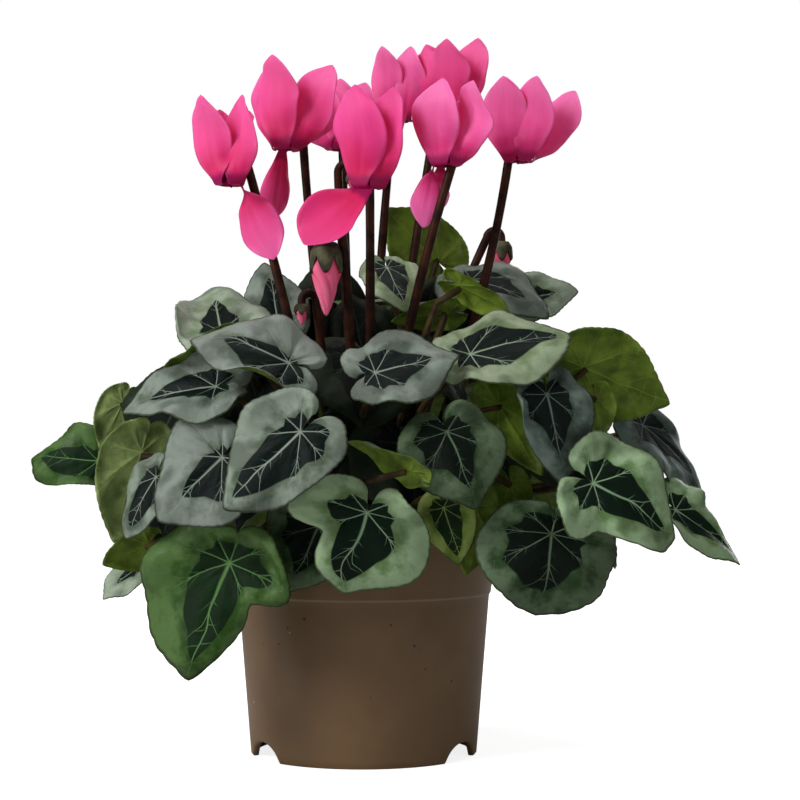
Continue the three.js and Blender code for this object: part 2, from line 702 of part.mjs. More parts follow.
// The least distance of a stalk's middle line to the blades, the stems, the pot's rim and the soil.
function stalkRoom(leaf, points, near) {
  const probes = between(points, 3);
  let room = FAR;
  probes.forEach((probe, i) => {
    const slack = i > 0.85 * probes.length ? STALK.footRadius : 0;
    room = Math.min(room, near(probe, leaf.name, slack), stemClearance(probe));
    if (i > 1) room = Math.min(room, potClearance(probe));
  });
  return room;
}

function stalkSolid(points) {
  const radii = points.map((_, i) =>
    lerp(STALK.footRadius, STALK.topRadius, i / (points.length - 1)),
  );
  return solidOf(bar(points, radii, STALK.sides));
}

// ---------------------------------------------------------------- flower stems, calyx and buds

// Points of a stem from its hole in the tuber to the top of its hook and down to the neck.
function stemPoints({ foot, low, high }, top, nod, down) {
  const start = new THREE.Vector3(...foot, STEM.foot);
  const side = top.clone().addScaledVector(nod, -HOOK.radius);
  side.z -= HOOK.radius;
  const curve = new THREE.CubicBezierCurve3(
    start,
    new THREE.Vector3(...low),
    new THREE.Vector3(...high),
    side,
  );
  const points = curve.getPoints(STEM.steps);
  const sink = points[1].clone().sub(start).normalize().multiplyScalar(-STEM.holeDepth);
  points.unshift(start.clone().add(sink));
  for (let i = 1; i <= HOOK.steps; i++) {
    const turn = (Math.PI * i) / HOOK.steps;
    const point = side.clone().addScaledVector(nod, HOOK.radius * (1 - Math.cos(turn)));
    point.z += HOOK.radius * Math.sin(turn);
    points.push(point);
  }
  const last = points[points.length - 1].clone();
  last.z -= down;
  points.push(last);
  return points;
}

// A stem, grown by a clearance for the hole that it stands in.
function stemSolid(points, grow = 0) {
  const radii = points.map(
    (_, i) => lerp(STEM.footRadius, STEM.topRadius, i / (points.length - 1)) + grow,
  );
  return solidOf(bar(points, radii, STEM.sides));
}

// The cup that the corolla hangs from, at the end of the stem, grown by a clearance.
function calyxSolid(neck, grow = 0) {
  const { height, below, sides } = CALYX;
  const radius = CALYX.radius + grow;
  const cup = turned(
    [
      [0, -height * below - grow],
      [radius * 0.9, -height * below - grow],
      [radius, 0],
      [radius * 0.8, height * 0.45],
      [STEM.topRadius * 0.9 + grow, height * (1 - below) + grow],
      [0, height * (1 - below) + grow],
    ],
    sides,
  );
  return solidOf(cup.translate(neck.x, neck.y, neck.z));
}

function bloomStem(bloom) {
  const mouth = new THREE.Vector3(...bloom.at);
  const nod = aim(bloom.stem + 180);
  const top = mouth.clone().addScaledVector(nod, -HOOK.radius);
  top.z += HOOK.rise + HOOK.radius;
  const drop = HOOK.rise - TUBE.height - GAP - CALYX.height * CALYX.below;
  return stemPoints(bloom, top, nod, drop);
}

// ---------------------------------------------------------------- corolla

// Width of a petal along its length, 1 where it is widest.
function petalWidth(share) {
  return (PETAL.foot * (1 - share) + Math.sin(Math.PI * share ** 1.15) ** 0.8) / 1.12;
}

// The sheet of one petal about the mouth's centre: it leaves the mouth downwards, turns at its knee
// and then runs on at its rise, while it twists about its own length.
function petalGeometry(azimuth, [rise, length, width, twist, sway]) {
  const { shares } = PETAL;
  const out = aim(azimuth);
  const side = new THREE.Vector3().crossVectors(UP, out);
  const fine = 200;
  const centre = out.clone().multiplyScalar(TUBE.mouth - PETAL.inset);
  centre.z = PETAL.start;
  const middles = [];
  const normals = [];
  let next = 0;
  for (let i = 0; i <= fine; i++) {
    const share = i / fine;
    const bent = smoothstep(share, 0, PETAL.kneeLength);
    const heading = degToRad(lerp(PETAL.knee, rise, bent));
    const lean = Math.tan(degToRad(sway)) * bent;
    const tangent = out.clone().multiplyScalar(Math.cos(heading));
    tangent.addScaledVector(UP, Math.sin(heading)).addScaledVector(side, lean).normalize();
    if (next < shares.length && share >= shares[next] - 1e-9) {
      const across = side.clone().addScaledVector(tangent, -side.dot(tangent)).normalize();
      const face = new THREE.Vector3().crossVectors(across, tangent);
      const roll = degToRad(twist) * smoothstep(share, PETAL.twistFrom, PETAL.twistTo);
      across.applyAxisAngle(tangent, roll);
      face.applyAxisAngle(tangent, roll);
      const half = (width / 2) * petalWidth(share);
      for (const q of [-half, half]) {
        middles.push(centre.clone().addScaledVector(across, q));
        normals.push(face);
      }
      next++;
    }
    centre.addScaledVector(tangent, length / fine);
  }
  const faces = [];
  const rows = shares.length;
  for (let r = 0; r + 1 < rows; r++) {
    const a = 2 * r;
    faces.push([a, a + 1, a + 3], [a, a + 3, a + 2]);
  }
  const border = [0];
  for (let r = 0; r < rows; r++) border.push(2 * r + 1);
  for (let r = rows - 1; r > 0; r--) border.push(2 * r);
  return sheet(middles, normals, faces, border, PETAL.thickness);
}

function corollaSolid(bloom) {
  const { mouth, crown, height, wall, sides } = TUBE;
  const cup = turned(
    [
      [0, height - wall],
      [mouth - wall, -0.6],
      [mouth, -0.6],
      [mouth, 1.6],
      [crown, height],
      [0, height],
    ],
    sides,
  );
  const parts = [solidOf(cup)];
  bloom.petals.forEach((petal, i) => {
    parts.push(solidOf(petalGeometry(bloom.stem + 36 + 72 * i, petal)));
  });
  return fuse(parts).translate(bloom.at);
}

// Rolled petals of a bud: a long drop with its point down.
function budSolid(neck, length) {
  const radius = BUD.slenderness * length + BUD.radius;
  const roll = turned(
    [
      [0, -length],
      [radius * 0.45, -length * 0.8],
      [radius, -length * 0.42],
      [radius * 0.85, -length * 0.12],
      [CALYX.radius * 0.7, 0.6],
      [0, 0.6],
    ],
    CALYX.sides,
  );
  return solidOf(roll.translate(neck.x, neck.y, neck.z));
}

// ---------------------------------------------------------------- assembly

const plant = new THREE.Group();
const materials = {
  pot: material(COLOUR.pot, 0.45),
  soil: material(COLOUR.soil, 1),
  crown: material(COLOUR.crown, 0.6),
  leaf: material(COLOUR.leaf, 0.55),
  stem: material(COLOUR.stem, 0.5),
  petal: material(COLOUR.petal, 0.6),
  bud: material(COLOUR.bud, 0.6),
};

function addNode(name, solid, slot) {
  const mesh = new THREE.Mesh(geometryOfSolid(solid), materials[slot]);
  mesh.name = name;
  plant.add(mesh);
}

addNode("pot", potSolid(), "pot");
addNode("soil", soilSolid(), "soil");

const hiddenLeaves = ROWS.flatMap(rowLeaves);
const blades = LEAVES.map((leaf) => ({ name: leaf.name, geometry: bladeGeometry(leaf) }));

const bloomStems = BLOOMS.map(bloomStem);
const budStems = BUDS.map((bud) => {
  const top = new THREE.Vector3(...bud.top);
  return stemPoints(bud, top, aim(bud.nod), HOOK.budDrop);
});
const allStems = [...bloomStems, ...budStems];
const stemProbes = allStems.flatMap((points) => between(points, 8));

// The tuber with every leaf stalk and the leaves of the rows, and a hole where each stem stands.
const hiddenBlades = hiddenLeaves.map((leaf) => ({ name: leaf.name, geometry: bladeGeometry(leaf) }));
const near = clearance([...blades, ...hiddenBlades]);
const standing = [...LEAVES, ...hiddenLeaves].sort((a, b) => azimuthOf(a) - azimuthOf(b));
const stalks = standing.map((leaf, i) => {
  const ring = STALK.rings[i % STALK.rings.length];
  const even = (360 * i) / standing.length - 180;
  const foot = aim(lerp(even, azimuthOf(leaf), STALK.below)).multiplyScalar(ring);
  return stalkPoints(leaf, foot.setZ(STALK.footHeight), near);
});
let crown = fuse([
  solidOf(turned(tuberProfile(), TUBER.sides)),
  ...stalks.map(stalkSolid),
  ...hiddenBlades.map(({ geometry }) => solidOf(geometry)),
]);
for (const points of allStems) crown = crown.subtract(stemSolid(points, GAP));
addNode("tuber_and_leaf_stalks", largest(crown).simplify(SLIVER), "crown");

for (const { name, geometry } of blades) addNode(name, solidOf(geometry), "leaf");

BLOOMS.forEach((bloom, i) => {
  const points = bloomStems[i];
  const neck = points[points.length - 1];
  addNode(`flower_stem_${i + 1}`, stemSolid(points).add(calyxSolid(neck)), "stem");
  const room = stemSolid(points, GAP).add(calyxSolid(neck, GAP));
  addNode(`corolla_${i + 1}`, largest(corollaSolid(bloom).subtract(room)), "petal");
});

BUDS.forEach((bud, i) => {
  const points = budStems[i];
  const neck = points[points.length - 1];
  const solid = fuse([stemSolid(points), calyxSolid(neck), budSolid(neck, bud.length)]);
  addNode(bud.name, solid, "bud");
});

// The box of the whole plant is centred on the origin in plan.
const box = new THREE.Box3().setFromObject(plant);
const centre = box.getCenter(new THREE.Vector3());
plant.position.set(-centre.x, -centre.y, 0);

export default plant;
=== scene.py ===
"""A potted cyclamen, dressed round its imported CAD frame.

The shapes are worked out in millimetres about the pot's axis, from the same named values as the
CAD part, and turned into metres in the part's frame when their mesh is made. Azimuth 0 points to
-Y, the front, and 90 to +X. Every surface is a grid of points computed as whole arrays.
"""

import math
from types import SimpleNamespace as Values

import bmesh
import bpy
import numpy as np
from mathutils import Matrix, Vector


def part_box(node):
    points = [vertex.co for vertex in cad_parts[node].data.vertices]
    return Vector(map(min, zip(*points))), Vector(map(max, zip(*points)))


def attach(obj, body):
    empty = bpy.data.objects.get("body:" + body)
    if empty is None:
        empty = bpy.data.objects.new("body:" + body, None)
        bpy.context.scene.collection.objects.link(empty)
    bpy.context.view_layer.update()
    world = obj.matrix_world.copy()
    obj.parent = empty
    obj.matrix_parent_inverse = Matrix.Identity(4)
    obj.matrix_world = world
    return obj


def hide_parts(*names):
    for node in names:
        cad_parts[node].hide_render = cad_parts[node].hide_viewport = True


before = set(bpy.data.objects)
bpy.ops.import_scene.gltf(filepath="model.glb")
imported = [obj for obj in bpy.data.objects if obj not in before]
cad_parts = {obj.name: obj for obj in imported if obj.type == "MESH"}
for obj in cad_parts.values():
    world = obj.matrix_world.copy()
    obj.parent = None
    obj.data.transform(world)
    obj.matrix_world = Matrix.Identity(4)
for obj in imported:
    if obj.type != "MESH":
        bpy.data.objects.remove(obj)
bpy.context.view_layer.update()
pot_low, pot_high = (np.array(corner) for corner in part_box("pot"))
AXIS = (pot_low + pot_high) / 2 * (1, 1, 0)
MM = 0.001
UP = np.array([0, 0, 1.0])

# ---- the CAD part's own values, in mm or in leaf lengths

GAP = 0.3
POT = Values(height=97, rim=60, foot=49.2, step_height=69.5, step=54.9, step_width=0.5,
             lip_height=5, wall=1.5, floor_height=9, floor=1.8)
NOTCH = Values(count=3, first=60, width=25, height=7.5, shoulder=0.7, reach=12.0)
SOIL = Values(top=87, heap=2, clearance=1.2 * GAP)
TUBER = Values(radius=24, top=96, bottom=74, girth=85)
BLADE = Values(thickness=0.7, reach=0.52, tip_reach=0.13, point=0.35, point_angle=0.42,
               open=0.97, dish=0.22, crease=0.04, sinus=0.945, lobes=0.3, teeth=0.018)
STEM = Values(foot_radius=2.2, top_radius=1.7, hole=7, foot=97)
HOOK = Values(radius=3.4, rise=11, bud_drop=2)
CALYX = Values(radius=3.3, height=4.6, below=0.3)
TUBE = Values(mouth=5.2, crown=3.4, height=6.4, wall=1.1)

# ---- values of the finer pieces

PETAL = Values(thickness=0.8, inset=0.9, sunk=0.4, start=0.4, dip=-70, knee=0.1, lean=5,
               sweep=0.2, spiral=-38, twist_from=0.05, twist_to=0.35, uneven=0.1, cup=0.24,
               roll=0.3, crease=0.4, ripple=0.8, ruffle=0.6, flare=0.1)
BUD = Values(slenderness=0.17, radius=1.4, sepals=0.24)
RELIEF = Values(quilt=0.016, crimp=0.02, swell=0.045, roll=0.04, jag=0.016, slow=0.028,
                quick=0.018)
STALK_RADIUS = 1.3
CUT = Values(off=0.5, margin=0.06)  # how near a fan's triangle, in mm and in sides of it
# Rows and columns of each surface, or its columns alone.
BLADE_GRID, INNER_GRID, PETAL_GRID = (16, 193), (11, 81), (52, 17)
POT_COLUMNS, SOIL_COLUMNS, LOBED_COLUMNS, CUP_COLUMNS, STYLE_COLUMNS = 360, 220, 60, 48, 12
STEM_COLUMNS, STALK_COLUMNS = 16, 10

# Leaf blades: name, look, stalk's end, tip, way the upper side faces (azimuth, elevation), width,
# bend of the midrib in degrees, fold, wave and its phase.
LEAVES = [
    ("low_left_front", "green", (-52, -76, 87), (-69, -70, 39), (-15, 8), 1.15, 15, 0.1, 0.05),
    ("low_left_inner", "deep", (-17, -70, 101), (-30, -78, 75), (-5, 0), 1.25, 20, 0.1, 0.04, 1),
    ("low_front", "mint", (3, -100, 108), (-7, -92, 74), (5, 15), 1.4, 25, 0.05, 0.06, 2),
    ("low_right_small", "lime", (33, -82, 109), (39, -88, 86), (5, 5), 0.85, 10, 0.5, 0.03),
    ("low_right_back", "olive", (45, -72, 110), (42, -76, 81), (170, 0), 0.7, 10, 0.2, 0.03),
    ("mid_right_front", "deep", (34, -94, 139), (45, -100, 108), (10, 12), 1.15, 25, 0.1, 0.05, 1),
    ("mid_front_turned", "olive", (20, -106, 124), (-5, -101, 134), (180, 50), 0.5, 30, 0.1, 0.05),
    ("low_right_big", "deep", (75, -88, 99), (70, -90, 65), (12, -5), 1.5, 25, 0.1, 0.07, 3),
    ("right_bright", "mint", (91, -92, 119), (124, -86, 98), (20, 12), 1.15, 35, 0.1, 0.06, 2),
    ("right_dark", "smoke", (118, -30, 142), (146, -20, 112), (55, 35), 0.9, 25, 0.15, 0.03),
    ("far_right", "mint", (129, -50, 107), (158, -48, 84), (20, 40), 0.85, 20, 0.45, 0.05, 1),
    ("right_turned", "olive", (91, -50, 166), (129, -46, 150), (195, 20), 0.85, 20, 0.1, 0.06),
    ("right_turned_low", "olive", (95, -62, 153), (96, -70, 136), (180, 0), 0.8, 20, 0.1, 0.04, 2),
    ("mid_right_dark", "smoke", (74, -78, 154), (79, -86, 119), (15, 15), 0.95, 25, 0.1, 0.05),
    ("mid_turned", "olive", (55, -76, 150), (72, -82, 122), (185, -5), 0.6, 15, 0.2, 0.03),
    ("mid_right_pale", "olive", (60, -70, 119), (65, -73, 101), (175, 5), 0.75, 15, 0.1, 0.03, 1),
    ("top_right", "silver", (44, -72, 170), (84, -66, 180), (0, 48), 0.95, 12, 0.12, 0.04, 2),
    ("top_centre", "cloud", (6, -90, 162), (40, -84, 169), (0, 45), 1.15, 12, 0.15, 0.04, 1),
    ("top_left", "half", (-28, -86, 166), (-68, -80, 176), (-5, 42), 0.9, 40),
    ("upper_left", "frost", (-59, -38, 181), (-67, 4, 204), (-5, 60), 0.85, 15, 0.1, 0.04, 1),
    ("crown_left", "cloud", (-38, 10, 188), (-45, 20, 216), (0, 20), 0.9),
    ("left_upper", "cloud", (-58, -72, 157), (-98, -62, 149), (-10, 50), 0.85, 20, 0.25, 0.04, 2),
    ("left_turned", "olive", (-45, -62, 174), (-83, -54, 164), (180, 60), 0.75, 15, 0.1, 0.05),
    ("left_grey", "half", (-54, -86, 129), (-80, -82, 103), (-15, 8), 1.15, 20, 0.1, 0.04, 1),
    ("front_left", "grey", (-22, -112, 139), (-52, -106, 110), (-5, 18), 0.95, 25, 0.12),
    ("left_olive", "pale", (-90, -56, 131), (-102, -54, 92), (200, 0), 0.72, 20),
    ("left_low_grey", "grey", (-82, -70, 121), (-95, -68, 97), (-40, 8), 0.9, 15, 0.1, 0.04, 1),
    ("far_left", "green", (-114, -14, 127), (-143, -10, 128), (-20, 18), 0.95, 20, 0.15),
    ("far_left_pale", "pale", (-103, -18, 152), (-113, -20, 131), (190, 5), 0.75),
    ("low_left_olive", "olive", (-90, -30, 92), (-109, -32, 84), (190, 30), 1),
    ("low_left_pale", "frost", (-96, -14, 82), (-112, -18, 67), (-20, 30), 0.7, 15, 0.3),
    ("top_right_silver", "cloud", (47, 3, 206), (81, -12, 188), (15, 45), 0.85, 35),
    ("top_right_turned", "lime", (40, -46, 200), (61, -50, 187), (185, 45), 0.55),
    ("crown_back", "olive", (34, 60, 219), (8, 60, 246), (180, 0), 0.8, 20),
    ("far_top_right", "frost", (70, 6, 198), (95, 10, 202), (10, 30), 0.9, 20, 0.2),
    ("crown_centre", "silver", (10, -2, 211), (19, -20, 189), (10, 30), 0.8, 30),
    ("crown_turned", "olive", (36, -24, 190), (12, -24, 186), (180, 35), 0.6),
]

# Blades whose two lobes meet behind the stalk, and how far their outline opens.
CLOSED = ("right_turned", "left_olive", "far_left_pale", "low_left_front", "low_right_big",
          "right_turned_low", "mid_turned")
CLOSED_OPENING = 1.06

# Turned-up stretches of a margin: the middle angle from the tip and the spread in degrees, the
# lift in leaf lengths and how far it draws back.
CURLS = {
    "top_left": [(75, 40, 0.2, 0.22)],
    "upper_left": [(70, 45, 0.16, 0.2)],
    "left_upper": [(-70, 40, 0.12, 0.1)],
    "low_left_front": [(-150, 26, 0.34, 0.3), (-50, 30, 0, -0.1), (-24, 16, 0, -0.14),
        (48, 25, 0, 0.46), (18, 14, 0, 0.08), (108, 28, 0.2, 0.1)],
    "low_front": [(-42, 15, 0, 0.36), (-80, 22, 0, -0.13), (130, 30, 0.1, 0.1), (40, 24, 0, -0.1),
        (92, 26, 0, 0.1), (-60, 30, 0.12, 0.04)],
    "low_right_big": [(80, 34, 0, -0.03), (-38, 24, 0, -0.1), (36, 22, 0, -0.1), (0, 9, 0, 0.1)],
    "right_bright": [(-130, 40, 0.1, 0.06), (-48, 22, 0, 0.3), (-13, 9, 0, -0.12)],
    "mid_right_front": [(120, 30, 0.1, 0.1)],
    "front_left": [(-100, 40, 0.1, 0.08), (80, 35, 0, 0.08)],
    "left_grey": [(95, 35, 0.12, 0.1)],
    "far_left": [(80, 40, 0.12, 0.2), (-52, 14, 0, -0.16), (22, 14, 0, -0.2)],
    "right_dark": [(-80, 40, 0, -0.26)],
    "top_right": [(-95, 35, 0.05, 0.04), (-28, 22, 0, -0.2)],
    "top_centre": [(-80, 40, 0.07, 0.06)],
    "right_turned": [(60, 40, 0.1, 0.06)],
    "low_left_inner": [(60, 40, 0.14, 0.12)],
    "mid_right_dark": [(-80, 45, 0.16, 0.32)],
    "far_right": [(-120, 30, 0.2, 0.1), (44, 34, 0, 0.38)],
}

# Rows of blades behind the others: azimuths of both ends, number, radius and height where the
# stalks meet them, length and drop, and the looks by turns. The rows inside the dome are dark:
# their shade look is painted shadow.
ROWS = [
    (102, 256, 5, 92, 118, 48, -62, ("back", "grey")),
    (115, 245, 4, 64, 166, 46, -38, ("grey", "back")),
    (155, 210, 2, 36, 200, 42, -12, ("cloud", "back")),
    (-66, 66, 4, 46, 138, 42, -74, ("shade", "shade")),
    (-50, 56, 3, 34, 172, 38, -52, ("shade", "shade")),
]
ROW_ROLL = 16
ROW_SHAPE = (1.2, 25, 0.08, 0.04)
ROW_SCATTER = Values(azimuth=3, height=4, drop=6)

# Small leaves inside the dome, dark with painted shadow: stalk's end, tip and the way the upper
# side faces.
INNER = [
    ((-78, -30, 152), (-92, -28, 114), (-20, 10)),
    ((-48, -20, 162), (-66, -18, 128), (-10, 10)),
    ((-70, -30, 120), (-90, -30, 88), (-20, 15)),
    ((-14, 28, 186), (-22, 34, 218), (0, 12)),
    ((0, 8, 170), (-7, 12, 203), (5, 8)),
    ((-26, 18, 178), (-37, 24, 207), (-10, 12)),
    ((24, 20, 180), (32, 27, 209), (10, 12)),
    ((50, -30, 128), (62, -28, 96), (12, 10)),
    ((84, -24, 140), (92, -22, 108), (22, 10)),
    ((38, 12, 172), (46, 16, 201), (8, 12)),
]
INNER_SHAPE = (1.05, 20, 0.1, 0.05)
INNER_LOOKS = ["shade", "back", "grey", "cloud"]

# Blooms: petal look, mouth, azimuth of the stem's side, foot on the tuber, the stem's two bends,
# and the petals' rise, length, width, twist, sway and shift round the mouth.
BLOOMS = [
    ("pink", (-56, -24, 245), 120, (-14, -3), (-19, -18, 140), (-34, -28, 200),
     [(80, 37, 18, -10), (82, 36, 18, 0, 0, -14), (80, 41, 22, 40), (84, 40, 22, -56, 0, 12),
      (-66, 36, 22, -75)]),
    ("pink", (-34, 2, 264), 90, (-11, 5), (-14, 6, 150), (-24, 6, 215),
     [(60, 41, 22, -95), (-84, 32, 15, 0, 6, 10), (84, 41, 22, 70), (86, 43, 25, -2),
      (66, 42, 25, -70)]),
    ("lilac", (-11, 36, 269), 180, (-5, 10), (-6, 14, 150), (-9, 34, 220),
     [(82, 33, 20), (62, 35, 26, 50), (84, 33, 24, -15), (80, 33, 22, -70), (82, 33, 18)]),
    ("rose", (3, -45, 241), 180, (2, -8), (2, -22, 140), (4, -38, 185),
     [(84, 42, 20), (80, 45, 26, 22, 0, 36), (-52, 38, 29, -10, -32, -22),
      (82, 44, 25, -62, 0, -34), (80, 41, 22, -30, 0, -30)]),
    ("lilac", (16, 48, 284), 200, (2, 12), (3, 22, 150), (6, 48, 225),
     [(84, 34, 15), (84, 36, 17, 45), (84, 36, 18, -30), (82, 34, 16, -70), (84, 34, 14)]),
    ("pink", (40, 40, 286), 240, (8, 9), (10, 16, 150), (22, 36, 220),
     [(76, 35, 22, 62), (82, 35, 22, -10), (80, 37, 22, -78), (66, 36, 20, -70), (80, 36, 20)]),
    ("lilac", (34, -45, 250), 90, (8, -11), (9, -26, 140), (20, -46, 195),
     [(76, 36, 19, -60), (-80, 20, 12), (-80, 27, 14, 80), (86, 38, 24, 4, 0, -4),
      (70, 38, 24, -84)]),
    ("lilac", (66, -24, 255), 200, (14, -3), (34, -16, 140), (54, -28, 195),
     [(84, 36, 17, 0, 0, -14), (84, 38, 22, 34, 0, 10), (76, 38, 22, -50, 0, 6),
      (58, 38, 22, -106), (64, 36, 20, -80, 0, -10)]),
]

# Buds: name, top of the hook, azimuth that it nods to, foot, the stem's bends, length.
BUDS = [
    ("bud_front", (-11, -56, 222), -90, (-4, -13), (-4, -28, 140), (-4, -52, 185), 30),
    ("bud_right", (58, 22, 230), 80, (10, 3), (18, 12, 150), (45, 26, 205), 19),
    ("bud_low", (-22, -44, 197), -60, (-9, -9), (-12, -22, 130), (-17, -38, 170), 8),
    ("bud_back", (-8, -6, 256), 70, (-2, -1), (-3, -2, 150), (-10, -4, 215), 7),
]

# ---- tones on a screen, from 0 to 255

# Leaf looks: silver, fresh green, centre, veins and lower side, then the centre's reach, its
# reach to the tip, its lean to one side and the roughness.
LEAF_LOOKS = {
    "silver": ((150, 165, 134), (112, 130, 92), (4, 17, 14), (160, 178, 154),
        (96, 114, 40), 0.46, 0.26),
    "frost": ((156, 170, 150), (122, 142, 110), (4, 17, 14), (160, 178, 154),
        (96, 114, 40), 0.34, 0.1),
    "cloud": ((130, 141, 130), (88, 101, 86), (4, 17, 14), (150, 164, 150),
        (92, 110, 38), 0.42, 0.15),
    "half": ((130, 140, 131), (92, 104, 90), (4, 17, 14), (150, 164, 150),
        (92, 110, 38), 0.36, 0.16, 0.24),
    "grey": ((136, 148, 134), (84, 99, 80), (4, 17, 14), (156, 170, 156),
        (92, 110, 38), 0.46, 0.3, 0.14),
    "mint": ((148, 173, 134), (98, 126, 78), (5, 22, 11), (152, 184, 146),
        (104, 122, 44), 0.42, 0.28),
    "green": ((80, 108, 58), (44, 74, 24), (8, 30, 8), (100, 140, 82),
        (98, 120, 42), 0.42, 0.3, 0.1),
    "deep": ((88, 106, 80), (42, 64, 34), (6, 16, 9), (104, 126, 100),
        (84, 106, 34), 0.5, 0.14, -0.12),
    "smoke": ((98, 112, 104), (52, 66, 58), (8, 17, 14), (100, 116, 106),
        (88, 108, 36), 0.46, 0.12, 0.0, 0.55),
    "lime": ((132, 150, 78), (92, 116, 44), (12, 32, 12), (150, 168, 100), (112, 134, 44)),
    "olive": ((100, 116, 90), (64, 86, 50), (10, 24, 16), (130, 148, 118), (108, 130, 46)),
    # The pale look's lower side is painted light: paler, to stand for light on leaves that lie in
    # shade.
    "pale": ((120, 136, 100), (84, 106, 60), (10, 24, 16), (130, 148, 118), (142, 160, 96)),
    "back": ((110, 134, 98), (66, 92, 50), (8, 22, 12), (124, 148, 114),
        (92, 112, 38), 0.48, 0.26),
    # The shade look is painted shadow: leaf tones darkened for the dim inside of the dome.
    "shade": ((34, 44, 32), (22, 32, 19), (5, 11, 8), (48, 60, 45),
        (44, 58, 20), 0.5, 0.3, 0.0, 0.55),
}
RIM_TONE = (40, 46, 22)
# Petal looks: middle, knee, and margin and tip.
PETAL_LOOKS = {
    "rose": ((228, 60, 136), (204, 24, 88), (234, 96, 166)),
    "pink": ((236, 76, 146), (208, 34, 100), (240, 116, 180)),
    "lilac": ((242, 98, 167), (210, 46, 120), (246, 138, 198)),
    "bud": ((222, 92, 130), (176, 52, 88), (232, 130, 160)),
}
FOOT_TONE = (134, 0, 74)
# Skins: two tones, roughness and scale of the grain.
SKIN_LOOKS = {
    "flower_stem": ((64, 32, 17), (32, 13, 8), 0.5, 700),
    "leaf_stalk": ((70, 58, 30), (44, 29, 17), 0.55, 700),
    "calyx": ((70, 66, 44), (48, 34, 28), 0.55, 700),
    "sepal": ((92, 90, 66), (44, 38, 28), 0.5, 420),
    "mouth": ((128, 4, 66), (96, 2, 50), 0.5, 700),
    "style": ((170, 40, 100), (140, 20, 80), 0.5, 700),
}
POT_TONES = dict(body=(118, 92, 64), cloud=(109, 84, 57), line=(150, 132, 112), dark=(40, 30, 24),
                 light=(190, 176, 156))
SOIL_TONES = dict(crumb=(58, 38, 26), crevice=(24, 15, 10), fibre=(112, 82, 54))
# Specks on the pot: azimuth, height, radius and tone.
SPECKS = [
    (-26, 62, 0.9, "dark"), (-35, 58, 0.7, "dark"), (-41, 51, 0.6, "dark"), (13, 60, 0.7, "dark"),
    (24, 51, 0.8, "dark"), (30, 41, 0.6, "dark"), (46, 35, 0.7, "dark"), (-52, 50, 0.6, "dark"),
    (-34, 56, 0.5, "light"), (-66, 24, 0.7, "light"), (4, 30, 0.4, "dark"),
]

# ---- arrays


def rad(degrees):
    return np.radians(degrees)


def aim(azimuth, elevation=0.0):
    """Unit vector to an azimuth and an elevation in degrees."""
    turn, lift = rad(azimuth), rad(elevation)
    return np.stack(np.broadcast_arrays(
        np.sin(turn) * np.cos(lift), -np.cos(turn) * np.cos(lift), np.sin(lift)), axis=-1)


def unit(v):
    return v / np.maximum(np.linalg.norm(v, axis=-1, keepdims=True), 1e-12)


def dot(a, b):
    return np.sum(a * b, axis=-1, keepdims=True)


def smooth(x, low, high):
    """0 below low, 1 above high, and 3t^2 - 2t^3 between."""
    t = np.clip((x - low) / (high - low), 0, 1)
    return t * t * (3 - 2 * t)


def mix(a, b, share):
    return a + (b - a) * share


def circle(count):
    """Even angles of a whole turn."""
    return np.linspace(0, 2 * np.pi, count, endpoint=False)


def lumps(points, size, seed, waves=14):
    """Smooth noise, mostly between -1 and 1: a sum of sines along seeded directions over the root
    of half their number, with wavelengths spread about size in mm."""
    rng = np.random.default_rng(seed)
    ways = unit(rng.normal(size=(waves, 3))) * 2 * np.pi
    ways = ways / (size * rng.uniform(0.6, 1.6, (waves, 1)))
    phases = rng.uniform(0, 2 * np.pi, waves)
    return np.sin(points @ ways.T + phases).sum(axis=-1) / math.sqrt(waves / 2)


def draw(seed):
    """The part's repeatable draw between -1 and 1: twice the fraction of a large sine, less 1."""
    value = math.sin(seed * 127.1 + 11.7) * 43758.5453
    return 2 * (value - math.floor(value)) - 1


# ---- meshes


